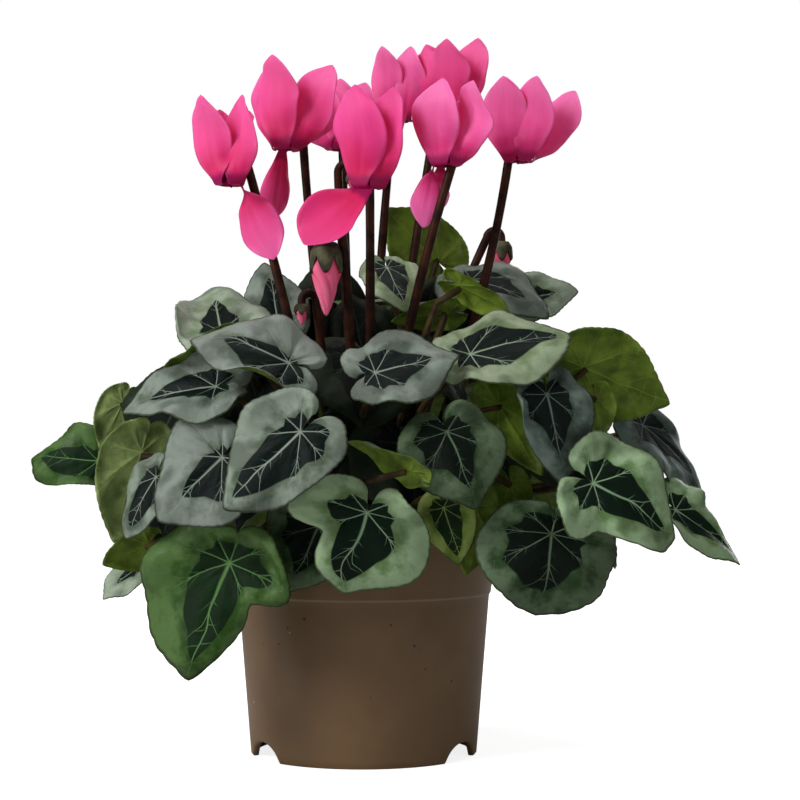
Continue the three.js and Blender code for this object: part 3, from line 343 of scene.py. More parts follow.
class Shape:
    """Grids of points that become one closed mesh, with a UV map and two values per point."""

    def __init__(self):
        self.points, self.uvs, self.sides, self.flats = [], [], [], []
        self.faces, self.skins, self.count = [], [], 0

    def cover(self, quads, skin):
        """Faces between points that are there already, all with one skin."""
        self.faces.append(quads)
        self.skins.append(np.full(len(quads), skin))

    def grid(self, points, uv=(0.5, 0.5), side=1.0, flat=(0.0, 0.0, 0.0), skin=0, wrap=False):
        """Quads between the neighbours of a rows x columns grid. With wrap the last column is
        joined to the first, and the first and last rows are meant to close on themselves."""
        size = points.shape[:2]
        index = self.count + np.arange(size[0] * size[1]).reshape(size)
        self.count += index.size
        for store, value, width in ((self.points, points, 3), (self.uvs, uv, 2),
                                    (self.sides, side, 1), (self.flats, flat, 3)):
            store.append(np.broadcast_to(value, (*size, width)).reshape(-1, width))
        if wrap:
            index = np.concatenate([index, index[:, :1]], axis=1)
        quads = [index[:-1, :-1], index[:-1, 1:], index[1:, 1:], index[1:, :-1]]
        self.cover(np.stack(quads, axis=-1).reshape(-1, 4), skin)
        return index

    def sheet(self, upper, lower, uv, flat=(0.0, 0.0, 0.0), skin=0):
        """Two grids, one over the other, joined by a wall round their border."""
        rings = []
        for side, points in ((1.0, upper), (0.0, lower)):
            k = self.grid(points, uv, side, flat, skin)
            rings.append(np.concatenate([k[0, :-1], k[:-1, -1], k[-1, :0:-1], k[:0:-1, 0]]))
        self.faces[-1] = self.faces[-1][:, ::-1]
        a, b = rings
        self.cover(np.stack([a, b, np.roll(b, -1), np.roll(a, -1)], axis=-1), skin)

    def make(self, name, slot, skins, *nodes):
        """The finished object in the part's frame, in metres, standing for the CAD nodes."""
        points = np.concatenate(self.points) * MM + AXIS
        faces = np.concatenate(self.faces)
        mesh = bpy.data.meshes.new(name)
        mesh.vertices.add(len(points))
        mesh.vertices.foreach_set("co", points.ravel())
        mesh.loops.add(faces.size)
        mesh.loops.foreach_set("vertex_index", faces.ravel())
        mesh.polygons.add(len(faces))
        mesh.polygons.foreach_set("loop_start", np.arange(0, faces.size, 4))
        mesh.polygons.foreach_set("material_index", np.concatenate(self.skins))
        mesh.uv_layers.new(name="surface").data.foreach_set(
            "uv", np.concatenate(self.uvs)[faces.ravel()].ravel())
        for key, kind, field, values in (("side", "FLOAT", "value", self.sides),
                                         ("flat", "FLOAT_VECTOR", "vector", self.flats)):
            mesh.attributes.new(key, kind, "POINT").data.foreach_set(
                field, np.concatenate(values).ravel())
        mesh.update(calc_edges=True)
        close_mesh(open_mesh(mesh), mesh)
        put(name, mesh, skins, nodes)


def open_mesh(mesh, merge=2e-6):
    """A working copy of a mesh with its poles and seams merged."""
    work = bmesh.new()
    work.from_mesh(mesh)
    bmesh.ops.remove_doubles(work, verts=work.verts, dist=merge)
    return work


def close_mesh(work, mesh):
    """The faces are turned outwards and the working copy is written back, smoothly shaded."""
    bmesh.ops.recalc_face_normals(work, faces=work.faces)
    work.to_mesh(mesh)
    work.free()
    mesh.polygons.foreach_set("use_smooth", np.ones(len(mesh.polygons), bool))
    mesh.update()


def stand(name, data):
    """A new object in the scene."""
    thing = bpy.data.objects.new(name, data)
    bpy.context.scene.collection.objects.link(thing)
    return thing


def put(name, mesh, skins, nodes):
    """A piece of the plant with its finishes, standing for the CAD nodes, which it hides."""
    piece = stand(name, mesh)
    for skin in skins:
        mesh.materials.append(skin)
    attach(piece, "root")
    if nodes:
        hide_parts(*nodes)


def grid_uv(u, v):
    """Texture places of a grid whose columns are at u and rows at v."""
    return np.stack(np.meshgrid(u, v), axis=-1)


def wheel(radius, height, sides):
    """A profile carried round the axis: x = r sin t, y = -r cos t, z = h."""
    turn = circle(sides)
    r, h = np.asarray(radius, float)[:, None], np.asarray(height, float)[:, None]
    return np.stack([r * np.sin(turn), -r * np.cos(turn), h + 0 * turn], axis=-1)


def refine(profile, step):
    """Points put evenly on each straight side of a profile, at most step apart."""
    profile = np.asarray(profile, float)
    out = [profile[:1]]
    for a, b in zip(profile[:-1], profile[1:]):
        n = max(1, int(np.ceil(np.linalg.norm(b - a) / step)))
        out.append(a + (b - a) * (np.arange(1, n + 1) / n)[:, None])
    return np.concatenate(out)


def hose(path, radii, sides, guide):
    """A round bar: circles across the path, laid out from a guide direction, closed at both ends
    by a row of no radius."""
    way = unit(np.gradient(path, axis=0))
    side = unit(guide - dot(way, guide) * way)
    other = np.cross(way, side)
    turn = circle(sides)[None, :, None]
    ring = path[:, None] + radii[:, None, None] * (
        np.cos(turn) * side[:, None] + np.sin(turn) * other[:, None])
    ends = [np.repeat(path[k][None, None], sides, axis=1) for k in (0, -1)]
    return np.concatenate([ends[0], ring, ends[1]])


def bezier(a, b, c, d, count):
    """Cubic curve (1-t)^3 a + 3(1-t)^2 t b + 3(1-t) t^2 c + t^3 d at even steps of t."""
    t = np.linspace(0, 1, count)[:, None]
    a, b, c, d = (np.asarray(p, float) for p in (a, b, c, d))
    return (1 - t) ** 3 * a + 3 * (1 - t) ** 2 * t * b + 3 * (1 - t) * t * t * c + t ** 3 * d


# ---- words for materials


def srgb(red, green, blue):
    """Linear colour of a screen colour given from 0 to 255."""
    c = np.array([red, green, blue]) / 255
    linear = np.where(c <= 0.04045, c / 12.92, ((c + 0.055) / 1.055) ** 2.4)
    return (*linear.tolist(), 1.0)


class Wire:
    """An output socket. Each +, - or * with it, and abs, puts a math node behind it."""

    def __init__(self, net, socket):
        self.net, self.socket = net, socket

    def __add__(self, other):
        return self.net.math("ADD", self, other)

    def __sub__(self, other):
        return self.net.math("SUBTRACT", self, other)

    def __rsub__(self, other):
        return self.net.math("SUBTRACT", other, self)

    def __mul__(self, other):
        return self.net.math("MULTIPLY", self, other)

    def __abs__(self):
        return self.net.math("ABSOLUTE", self)

    __radd__, __rmul__ = __add__, __mul__


class Net:
    """Short words for the nodes of one tree. A value is a number, a tuple or a Wire."""

    def __init__(self, tree):
        self.tree = tree

    def join(self, value, socket):
        if isinstance(value, Wire):
            self.tree.links.new(value.socket, socket)
        else:
            socket.default_value = value

    def feed(self, node, **values):
        """Values for the inputs that the words name, such as base_color for Base Color."""
        for key, value in values.items():
            self.join(value, node.inputs[key.replace("_", " ").title().replace("Ior", "IOR")])

    def node(self, kind, values=(), **settings):
        node = self.tree.nodes.new("ShaderNode" + kind)
        for key, value in settings.items():
            setattr(node, key, value)
        for key, value in dict(values).items():
            self.join(value, node.inputs[key])
        return node

    def out(self, kind, values=(), output=0, **settings):
        return Wire(self, self.node(kind, values, **settings).outputs[output])

    def wires(self, sockets):
        return {socket.name: Wire(self, socket) for socket in sockets}

    def math(self, operation, *values):
        return self.out("Math", enumerate(values), operation=operation)

    def between(self, value, low, high, to_low=0.0, to_high=1.0):
        """A smooth step from to_low at low to to_high at high."""
        return self.out("MapRange", enumerate((value, low, high, to_low, to_high)),
                        interpolation_type="SMOOTHSTEP")

    def blend(self, share, a, b):
        """A share of the way from colour a to colour b. A tuple is a screen colour."""
        a, b = (tone if isinstance(tone, Wire) else srgb(*tone) for tone in (a, b))
        return self.out("Mix", {0: share, 6: a, 7: b}, 2, data_type="RGBA")

    def noise(self, place, scale, detail=2.0, rough=0.5):
        return self.out("TexNoise", {"Vector": place, "Scale": scale, "Detail": detail,
                                     "Roughness": rough})

    def place(self):
        return self.out("TexCoord", output="Object")

    def combine(self, *values):
        return self.out("CombineXYZ", enumerate(values))

    def split(self, vector):
        return list(self.wires(self.node("SeparateXYZ", {0: vector}).outputs).values())

    def distance(self, place, spot=(0, 0, 0)):
        return self.out("VectorMath", {0: place, 1: spot}, "Value", operation="DISTANCE")

    def surface(self):
        """Both numbers of the piece's own UV map."""
        return self.split(self.out("UVMap", uv_map="surface"))[:2]

    def value(self, name, output="Fac"):
        return self.out("Attribute", (), output, attribute_name=name)

    def bump(self, height, distance, strength):
        return self.out("Bump", {"Height": height, "Distance": distance, "Strength": strength})


def finish(name, **constants):
    """A material, the words for its nodes, and its Principled shader with its constants set."""
    material = bpy.data.materials.new(name)
    material.use_nodes = True
    net = Net(material.node_tree)
    shader = material.node_tree.nodes["Principled BSDF"]
    net.feed(shader, **constants)
    return material, net, shader


def effect(name, numbers, results):
    """A node group with named numbers (and their defaults) going in and named values coming out."""
    tree = bpy.data.node_groups.new(name, "ShaderNodeTree")
    words = [("INPUT", key) for key in numbers] + [("OUTPUT", key) for key in results]
    for way, key in words:
        socket = tree.interface.new_socket(key, in_out=way, socket_type="NodeSocketFloat")
        socket.default_value = numbers.get(key, 0.0)
    net = Net(tree)
    given = net.wires(tree.nodes.new("NodeGroupInput").outputs)
    return tree, net, given, tree.nodes.new("NodeGroupOutput")


def use(net, tree, **numbers):
    node = net.node("Group", node_tree=tree)
    net.feed(node, **numbers)
    return net.wires(node.outputs)


# ---- finishes

VEIN_SPACING = math.pi / 4


def leaf_marks():
    """The marks of a cyclamen leaf. The UV map holds the angle from the tip (0 to 1 for a whole
    turn) and the share of the reach, and the point value "flat" the place in leaf lengths. Veins
    leave the stalk at even angles, the midrib the strongest, and each forks on the way out. The
    dark centre reaches furthest along the veins and to the tip. Zone is how far outside it a place
    lies."""
    tree, net, given, out = effect(
        "leaf_marks", {"Centre Reach": 0.5, "Vein Width": 0.009, "Tip Reach": 0.3, "Lean": 0.0},
        ("Centre", "Zone", "Veins", "Rim", "Mottle", "Streaks", "Patch", "Height"))
    u, share = net.surface()
    place = net.place()
    wander = net.noise(place, 42, 1.5) - 0.5
    angle = (u - 0.5) * (2 * math.pi)
    bent = angle + wander * 0.4
    fold = abs(net.math("WRAP", bent, VEIN_SPACING / 2, -VEIN_SPACING / 2))
    off_tip = abs(bent)
    reach = net.distance(net.value("flat", "Vector"))
    width = given["Vein Width"] * net.between(share, 0.0, 0.85, 1.0, 0.35)
    midrib = net.between(off_tip, VEIN_SPACING * 0.45, VEIN_SPACING * 0.55, 1.7, 0.85)

    def line(distance, thickness):
        return net.between(distance, thickness * 0.2, thickness * 1.3, 1.0, 0.0)

    veins = line(reach * fold, width * midrib)
    spread = net.math("MAXIMUM", share - 0.4, 0.0) * 0.6
    fork = line(reach * abs(fold - spread), width * 0.6) * net.between(share, 0.38, 0.44)
    twig = abs(net.math("WRAP", share * 6.0 - fold * 4.0 + wander * 2.0, 0.5, -0.5))
    twig = net.between(twig, 0.01, 0.06, 0.5, 0.0) * net.between(fold, 0.05, 0.2, 1.0, 0.0)
    twig = twig * net.between(share, 0.2, 0.3)
    for more in (fork, twig, net.between(share, 0.0, 0.08, 0.5, 0.0)):
        veins = net.math("MAXIMUM", veins, more)
    tip = given["Tip Reach"] * net.between(off_tip, 0.0, 0.95, 1.0, 0.0)
    lobe = net.math("POWER", 1.0 - fold * (2 / VEIN_SPACING), 1.3)
    edge = given["Centre Reach"] + tip + lobe * 0.1 + given["Lean"] * net.math("SINE", angle)
    zone = share - (edge + wander * 0.3)
    mottle = net.noise(place, 130, 3, 0.55)
    streaks = net.noise(net.combine(u * 46.0, share * 3.0), 1.0, 3, 0.6)
    height = mottle * 1.4 + net.noise(place, 700) * 0.12 + streaks * 0.25 - veins * 0.2
    # Patch is a mask of soft blotches where the leaf finish paints shade.
    net.feed(out, centre=net.between(zone, -0.014, 0.014, 1.0, 0.0), zone=zone, veins=veins,
             rim=net.between(share, 0.962, 0.99), mottle=mottle, streaks=streaks,
             patch=net.between(net.noise(place, 62), 0.47, 0.66), height=height)
    return tree


LEAF_MARKS = leaf_marks()


def shade_of(tone, share):
    return [min(255, part * share) for part in tone]


def leaf_finish(name, silver, fresh, centre, vein, under, reach=0.5, tip=0.3, lean=0.0, rough=0.4):
    """Upper side: a dark centre with pale veins, a fresh green round it that turns silver towards
    the margin, darker patches of painted shade, and a thin dark rim. Lower side: olive with paler
    veins."""
    material, net, shader = finish(
        name, roughness=rough, subsurface_weight=0.05, subsurface_scale=0.002,
        subsurface_radius=(0.4, 1.0, 0.2), specular_ior_level=0.11)
    marks = use(net, LEAF_MARKS, centre_reach=reach, tip_reach=tip, lean=lean)
    mottle, veins = marks["Mottle"], marks["Veins"]
    zone = net.blend(net.between(marks["Zone"] + (mottle - 0.5) * 1.3, -0.1, 0.3), fresh, silver)
    zone = net.blend(net.between(marks["Streaks"], 0.5, 0.75) * 0.3, zone, shade_of(fresh, 0.8))
    # Painted shade: soft darker blotches for the light and shade over the wavy blade.
    zone = net.blend(marks["Patch"] * 0.55, zone, shade_of(fresh, 0.62))
    zone = net.blend(veins * 0.25, zone, vein)
    dark = net.blend(net.between(mottle, 0.35, 0.75), centre, shade_of(centre, 1.35))
    dark = net.blend(veins * 0.8, dark, vein)
    upper = net.blend(marks["Rim"] * 0.8, net.blend(marks["Centre"], zone, dark), RIM_TONE)
    lower = net.blend(net.between(mottle, 0.3, 0.7), under, shade_of(under, 0.7))
    lower = net.blend(veins * 0.4, lower, shade_of(under, 1.35))
    net.feed(shader, base_color=net.blend(net.value("side"), lower, upper),
             roughness=rough + (mottle - 0.5) * 0.35 + marks["Centre"] * 0.16,
             normal=net.bump(marks["Height"], 0.0009, 0.6))
    return material


def petal_finish(name, pink, deep, tip):
    """Along the petal: dark magenta at the foot, the deep tone over the knee, then pink, and paler
    to the margin and tip, with fine streaks that run lengthwise. A faint pink glow all over is
    painted light that lifts the shaded folds."""
    material, net, shader = finish(
        name, roughness=0.5, subsurface_weight=0.25, subsurface_scale=0.003,
        subsurface_radius=(1.0, 0.15, 0.3), specular_ior_level=0.2,
        # Painted light: a faint pink glow that lifts the petals' shaded folds.
        emission_color=(0.9, 0.02, 0.12, 1), emission_strength=0.07)
    across, share = net.surface()
    upper = net.value("side")
    streak = net.noise(net.combine(across * 22.0, share * 2.0, upper * 3.0), 1.0, 3, 0.6)
    cloud = net.noise(net.place(), 70)
    colour = net.blend(net.between(share + (cloud - 0.5) * 0.35, 0.2, 0.62), deep, pink)
    margin = abs(across * 2.0 - 1.0)
    light = net.between(margin, 0.5, 1.0) * 0.3 + net.between(share, 0.5, 1.0) * 0.45
    colour = net.blend(light, colour, tip)
    colour = net.blend(net.between(streak, 0.45, 0.7) * 0.12, colour, deep)
    colour = net.blend((1.0 - upper) * 0.5, colour, deep)
    foot = share + (streak - 0.5) * 0.09 - margin * 0.03
    net.feed(shader, base_color=net.blend(net.between(foot, 0.1, 0.2, 1.0, 0.0), colour, FOOT_TONE),
             normal=net.bump(streak * 0.6 + cloud * 0.6, 0.0004, 0.4))
    return material


def skin_finish(name, base, other, rough, grain):
    """A plant's skin: two tones in soft patches, with a fine grain."""
    material, net, shader = finish(name, roughness=rough, specular_ior_level=0.14)
    place = net.place()
    patch = net.between(net.noise(place, 130, 3), 0.35, 0.65)
    net.feed(shader, base_color=net.blend(patch, base, other),
             roughness=rough - 0.08 + patch * 0.16,
             normal=net.bump(net.noise(place, grain, 3), 0.0002, 0.6))
    return material


def pot_finish():
    """Satin taupe plastic: a fine grain, faint clouds, a paler line at the step, and specks."""
    material, net, shader = finish("pot_plastic_skin", roughness=0.42, specular_ior_level=0.3)
    place = net.place()
    cloud = net.noise(place, 22, 4, 0.55)
    colour = net.blend(net.between(cloud, 0.35, 0.65), POT_TONES["body"], POT_TONES["cloud"])
    line = abs(net.split(place)[2] - (POT.step_height + 0.3) * MM)
    line = net.between(line, 0.0002, 0.0007, 1.0, 0.0) * 0.4
    colour = net.blend(line, colour, POT_TONES["line"])
    ragged = (net.noise(place, 1500) - 0.5) * 0.0006
    for azimuth, height, size, tone in SPECKS:
        spot = aim(azimuth) * pot_radius(height) * MM + AXIS + UP * height * MM
        away = net.distance(place, tuple(spot)) + ragged
        near = net.between(away, size * 0.4 * MM, size * MM, 0.85, 0.0)
        colour = net.blend(near, colour, POT_TONES[tone])
    net.feed(shader, base_color=colour, roughness=cloud * 0.16 + 0.36,
             normal=net.bump(net.noise(place, 1400) * 0.3 + cloud * 0.7, 0.0004, 0.35))
    return material


def soil_finish():
    """Dark peat: brown and black crumbs with pale fibres."""
    material, net, shader = finish("soil_skin", roughness=0.95, specular_ior_level=0.1)
    place = net.place()
    crumb = net.out("TexVoronoi", {"Vector": place, "Scale": 260}, "Distance", feature="F1")
    colour = net.blend(net.between(crumb, 0.2, 0.8), SOIL_TONES["crumb"], SOIL_TONES["crevice"])
    fibre = net.noise(place, 600, 4, 0.7)
    net.feed(shader, normal=net.bump(crumb + fibre, 0.0015, 0.9),
             base_color=net.blend(net.between(fibre, 0.62, 0.72), colour, SOIL_TONES["fibre"]))
    return material


def pot_radius(height):
    """The wall's outer radius: two straight tapers with a small step between them."""
    step = POT.step_height
    lower = mix(POT.foot, POT.step, height / step)
    start = POT.step + POT.step_width
    upper = mix(start, POT.rim, (height - step) / (POT.height - step))
    return float(lower if height < step else upper)


LEAF_FINISHES, PETAL_FINISHES, SKINS = (
    {look: make(prefix + look + suffix, *tones) for look, tones in looks.items()}
    for make, prefix, suffix, looks in ((leaf_finish, "leaf_", "", LEAF_LOOKS),
                                        (petal_finish, "petal_", "", PETAL_LOOKS),
                                        (skin_finish, "", "_skin", SKIN_LOOKS)))
POT_SKIN = pot_finish()
SOIL_SKIN = soil_finish()

# ---- pot and soil


def inner_radius(height, clearance=0.0):
    """The wall's outer radius less its thickness and a clearance."""
    return pot_radius(height) - POT.wall - clearance


def notch_height(azimuth):
    """Height of the foot's edge at each azimuth: an arch of two quadratic curves at each notch."""
    t = np.linspace(0, 1, 40)
    across = NOTCH.width / 2 * ((1 - t) ** 2 + 2 * NOTCH.shoulder * t * (1 - t))
    height = NOTCH.height * (2 * t * (1 - t) + t * t)
    order = np.argsort(across)
    places = NOTCH.first + 360 / NOTCH.count * np.arange(NOTCH.count)
    off = np.abs((azimuth[:, None] - places + 180) % 360 - 180).min(axis=1)
    side = POT.foot * np.sin(rad(np.minimum(off, 90)))
    return np.interp(side, across[order], height[order], right=0.0)


def build_pot():
    """The wall's profile carried round the axis. Below the notches' reach the wall's height is
    squeezed upwards by their arches, h' = arch + h (reach - arch) / reach."""
    foot, ledge, rim = POT.foot, POT.step, POT.rim
    floor, step, top = POT.floor_height, POT.step_height, POT.height
    lip, upper = top - POT.lip_height, floor + POT.floor
    base, neck = inner_radius(0), pot_radius(lip)
    under = [(0, floor), (base - 0.2, floor), (base - 0.9, floor - 0.6), (base - 1, 0.3),
             (base - 0.7, 0)]
    outside = [(foot - 0.4, 0), (foot, 0.5), (ledge - 0.25, step - 0.9), (ledge, step - 0.35),
               (ledge + 0.1, step), (ledge + 0.5, step + 0.35), (ledge + 0.55, step + 0.9),
               (neck - 0.6, lip - 0.3), (neck - 0.5, lip), (rim - 0.15, lip + 0.6),
               (rim, lip + 0.9), (rim, top - 0.9), (rim - 0.25, top - 0.3), (rim - 0.9, top)]
    inside = [(rim - 2.4, top), (rim - 2.9, top - 0.3), (rim - 3, top - 1),
              (inner_radius(step), step), (inner_radius(floor) - 0.8, floor + 2.4),
              (inner_radius(floor) - 1.6, upper), (0, upper)]
    points = wheel(*refine(under + outside + inside, 2.5).T, POT_COLUMNS)
    x, y, z = np.moveaxis(points, -1, 0)
    arch = notch_height(np.degrees(np.arctan2(x[2], -y[2])))[None]
    reach = NOTCH.reach
    low = (z < reach) & (np.hypot(x, y) > base - 1.05)
    points[..., 2] = np.where(low, np.maximum(z, arch + z * (reach - arch) / reach), z)
    shape = Shape()
    shape.grid(points, wrap=True)
    shape.make("grower_pot", "pot_plastic", [POT_SKIN], "pot")


def build_soil():
    """A disc of soil inside the wall whose top is heaped to the middle and lumpy."""
    def inner(height):
        return inner_radius(height, SOIL.clearance)

    floor, step = POT.floor_height, POT.step_height
    low, edge, top = floor + POT.floor + GAP, TUBER.radius + 1.2, SOIL.top
    high, pit = top + SOIL.heap, TUBER.bottom - 1
    profile = [(0, low), (inner(floor) - 1.5, low), (inner(step) - 0.5, step),
               (inner(top) - 1.6, top - 2), (inner(top) - 2.2, top - 0.6),
               (inner(top) - 4, top - 0.2), (edge + 4, high), (edge, high - 0.6),
               (edge - 1, TUBER.girth), (12, pit), (0, pit)]
    points = wheel(*refine(profile, 0.9).T, SOIL_COLUMNS)
    free = smooth(points[..., 2], top - 3, top - 0.5)[..., None]
    rough = 0.55 * lumps(points, 6, 3) + 0.45 * lumps(points, 2.6, 4)
    shape = Shape()
    shape.grid(points + free * UP * np.clip(rough, -1.4, 0.9)[..., None], wrap=True)
    shape.make("potting_soil", "potting_soil", [SOIL_SKIN], "soil")


# ---- leaves


def leaf_of(name, look, at, tip, face, wide, bend=15, fold=0.1, wave=0.04, turn=0):
    return Values(name=name, look=look, at=np.array(at, float), tip=np.array(tip, float), face=face,
                  wide=wide, bend=bend, fold=fold, wave=wave, turn=turn)


def heart(angle, opening=BLADE.open):
    """Reach of the margin at an angle from the tip: a wide part, a part by the cosine, a point that
    dies away with the angle, and a notch at the stalk, which closes as its opening passes 1."""
    turn = np.abs(angle)
    lobe = np.sqrt(np.maximum(0, 1 - (turn / (opening * np.pi)) ** 14))
    point = BLADE.point * np.exp(-turn / BLADE.point_angle)
    return (BLADE.reach + BLADE.tip_reach * np.cos(turn) + point) * lobe


def relief(leaf, a, b):
    """Height over the blade's plane: the midrib's bend, the fold of the halves, the margin's waves
    and the dish of the cross-section."""
    bend = rad(leaf.bend) / 2 * a * (1 - a) * np.where(a > 0, 1, BLADE.lobes)
    fold = leaf.fold * (np.hypot(b, BLADE.crease) - BLADE.crease)
    share = np.minimum(1.2, np.hypot(a, b) / 0.6)
    wave = leaf.wave * share ** 2 * np.cos(5 * np.arctan2(b, a) + leaf.turn)
    return bend + fold + wave - BLADE.dish * b * b


def bell(angle, middle, spread):
    """1 at the middle angle, falling away as exp(-x^2) on both sides, all in degrees."""
    away = (np.degrees(angle) - middle + 180) % 360 - 180
    return np.exp(-(away / spread) ** 2)


def detail(leaf, share, angle):
    """What a CAD blade leaves out: hollows along the veins, a crimped margin, a slow swell, the
    rolled edge, and the stretches of the margin that turn up."""
    fold = np.abs((angle + VEIN_SPACING / 2) % VEIN_SPACING - VEIN_SPACING / 2)
    quilt = RELIEF.quilt * np.sin(np.pi * np.clip(share, 0, 1)) * np.minimum(1, fold / 0.2)
    crimp = RELIEF.crimp * smooth(share, 0.55, 1.0) * np.sin(9 * angle + 3 * leaf.turn)
    swell = np.sin(3 * angle + 5 * leaf.wide + leaf.turn)
    swell = RELIEF.swell * smooth(share, 0.3, 1.0) * swell
    height = quilt + crimp + swell - RELIEF.roll * smooth(share, 0.8, 1.0)
    for middle, spread, lift, _ in CURLS.get(leaf.name, ()):
        height = height + lift * smooth(share, 0.5, 1.0) ** 1.3 * bell(angle, middle, spread)
    return height


def pull(leaf, share, angle):
    """How far a blade draws back towards the stalk: only the margin where it turns up, and the
    whole width where it doesn't."""
    back = 1.0
    for middle, spread, lift, draw_in in CURLS.get(leaf.name, ()):
        part = smooth(share, 0.6, 1.0) ** 2 if lift else 1.0
        back = back - draw_in * part * bell(angle, middle, spread)
    return back


def leaf_axes(leaf):
    """The stalk's end, the ways along, across and out of the blade, and its length."""
    length = np.linalg.norm(leaf.tip - leaf.at)
    along = (leaf.tip - leaf.at) / length
    face = aim(*leaf.face)
    face = unit(face - dot(face, along) * along)
    return leaf.at, along, np.cross(face, along), face, length


def on_blade(leaf, a, b, height):
    """Places at a along the blade, b across it and a height over it, in leaf lengths."""
    at, along, across, face, length = leaf_axes(leaf)
    a, b, height = (np.asarray(value)[..., None] for value in (a, b, height))
    return at + length * (a * along + b * across + height * face)


def blade(leaf, rings, steps):
    """Upper and lower grids of a blade: rows at nearly even shares of the reach and columns at even
    angles round the stalk. The thickness runs along the normals of the relief."""
    _, along, across, face, _ = leaf_axes(leaf)
    share = np.linspace(0.0, 1.0, rings)[:, None] ** 0.9
    closed = leaf.name in CLOSED
    angle = (1.0 if closed else BLADE.sinus) * np.pi * np.linspace(-1, 1, steps)[None]
    jag = RELIEF.jag * (np.abs(np.sin(22 * angle)) ** 0.7 - 0.5)
    seed = leaf.turn + 7 * leaf.wide
    slow = RELIEF.slow * np.sin(3 * angle + 2 * seed) + RELIEF.quick * np.sin(5 * angle + seed)
    slow = slow * share * (1 - smooth(np.abs(angle), 2.4, 2.9))
    outline = heart(angle, CLOSED_OPENING if closed else BLADE.open)
    reach = outline * share * (1 + smooth(share, 0.85, 1.0) * jag + slow) * pull(leaf, share, angle)
    a, b = reach * np.cos(angle), reach * np.sin(angle) * leaf.wide
    middle = on_blade(leaf, a, b, relief(leaf, a, b) + detail(leaf, share, angle))
    d = 0.01
    slope_a = (relief(leaf, a + d, b) - relief(leaf, a - d, b)) / (2 * d)
    slope_b = (relief(leaf, a, b + d) - relief(leaf, a, b - d)) / (2 * d)
    normal = unit(face - slope_a[..., None] * along - slope_b[..., None] * across)
    half = 0.5 * BLADE.thickness * mix(0.85, 0.5, share)[..., None]
    uv = np.stack(np.broadcast_arrays(angle / (2 * np.pi) + 0.5, share), axis=-1)
    flat = np.stack([a, b / leaf.wide, 0 * a], axis=-1)
    return middle + normal * half, middle - normal * half, uv, flat


def build_leaf(leaf):
    """One blade as a piece of its own, with the finish of its look."""
    name, look = leaf.name, leaf.look
    shape = Shape()
    shape.sheet(*blade(leaf, *BLADE_GRID))
    shape.make(f"blade_{name}", "leaf_blade", [LEAF_FINISHES[look]], f"leaf_{name}")


def build_inner(leaves, others):
    """The rows' blades and the small leaves inside the dome with their own stalks, as one piece."""
    shape = Shape()
    for leaf in leaves + others:
        shape.sheet(*blade(leaf, *INNER_GRID), skin=INNER_LOOKS.index(leaf.look))
    for leaf in others:
        at = leaf.at
        out = unit(at * (1, 1, 0))
        start = out * 12 + UP * (TUBER.top - 2)
        under = at - leaf_axes(leaf)[3] * 1.2
        path = bezier(start, start + UP * (0.4 * (at[2] - start[2])),
                      mix(start, under, 0.6) + UP * 6, under, 24)
        points = hose(path, np.full(len(path), STALK_RADIUS), STALK_COLUMNS, np.cross(out, UP))
        shape.grid(points, skin=len(INNER_LOOKS), wrap=True)
    skins = [LEAF_FINISHES[look] for look in INNER_LOOKS] + [SKINS["leaf_stalk"]]
    shape.make("inner_leaves", "leaf_blade", skins)


def row_leaves():
    """The leaves of the rows, each a little off its place by the part's repeatable draw."""
    leaves = []
    for index, (start, end, count, radius, height, length, drop, looks) in enumerate(ROWS):
        for i in range(count):
            seed = 20 * index + i
            azimuth = mix(start, end, i / (count - 1)) + ROW_SCATTER.azimuth * draw(seed)
            up = height + ROW_SCATTER.height * draw(seed + 0.3)
            fall = drop + ROW_SCATTER.drop * draw(seed + 0.5)
            at = aim(azimuth) * radius + (0, 0, up)
            leaves.append(leaf_of("", looks[i % 2], at, at + aim(azimuth, fall) * length,
                                  (azimuth + ROW_ROLL, fall + 90), *ROW_SHAPE, i))
    return leaves


def fan_triangles(leaf):
    """The flat fan that stands for a row's blade in the CAD crown: the stalk's end and 13 points of
    the toothed margin."""
    k = np.arange(13)
    angle = BLADE.sinus * np.pi * (2 * k / 12 - 1)
    reach = heart(angle) * (1 + BLADE.teeth * np.where(k % 2, 1, -1))
    a, b = reach * np.cos(angle), reach * np.sin(angle) * leaf.wide
    rim = on_blade(leaf, a, b, relief(leaf, a, b))
    hub = on_blade(leaf, 0.0, 0.0, relief(leaf, np.zeros(1), np.zeros(1)))
    return np.stack([np.broadcast_to(hub, (12, 3)), rim[:-1], rim[1:]], axis=1)


def build_stalks(rows):
    """A copy of the CAD crown without the flat fans of its blades: the tuber and the stalks. A face
    goes where each of its corners lies on a triangle of a fan, or just off it."""
    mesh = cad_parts["tuber_and_leaf_stalks"].data.copy()
    mesh.name = "leaf_stalks"
    work = open_mesh(mesh, merge=1e-6)
    work.verts.ensure_lookup_table()
    places = (np.array([v.co[:] for v in work.verts]) - AXIS) / MM
    near = np.zeros(len(places), bool)
    for a, b, c in np.concatenate([fan_triangles(leaf) for leaf in rows]):
        u, v, w = b - a, c - a, places - a
        off = np.abs(w @ unit(np.cross(u, v)))
        uu, uv, vv, wu, wv = u @ u, u @ v, v @ v, w @ u, w @ v
        base = uu * vv - uv * uv
        s, t = (vv * wu - uv * wv) / base, (uu * wv - uv * wu) / base
        inside = (s > -CUT.margin) & (t > -CUT.margin) & (s + t < 1 + CUT.margin)
        near |= (off < CUT.off) & inside
    doomed = [face for face in work.faces if all(near[v.index] for v in face.verts)]
    bmesh.ops.delete(work, geom=doomed, context="FACES")
    bmesh.ops.holes_fill(work, edges=work.edges, sides=60)
    close_mesh(work, mesh)
    mesh.materials.clear()
    put("leaf_stalks", mesh, [SKINS["leaf_stalk"]], ["tuber_and_leaf_stalks"])


# ---- stems, blooms and buds


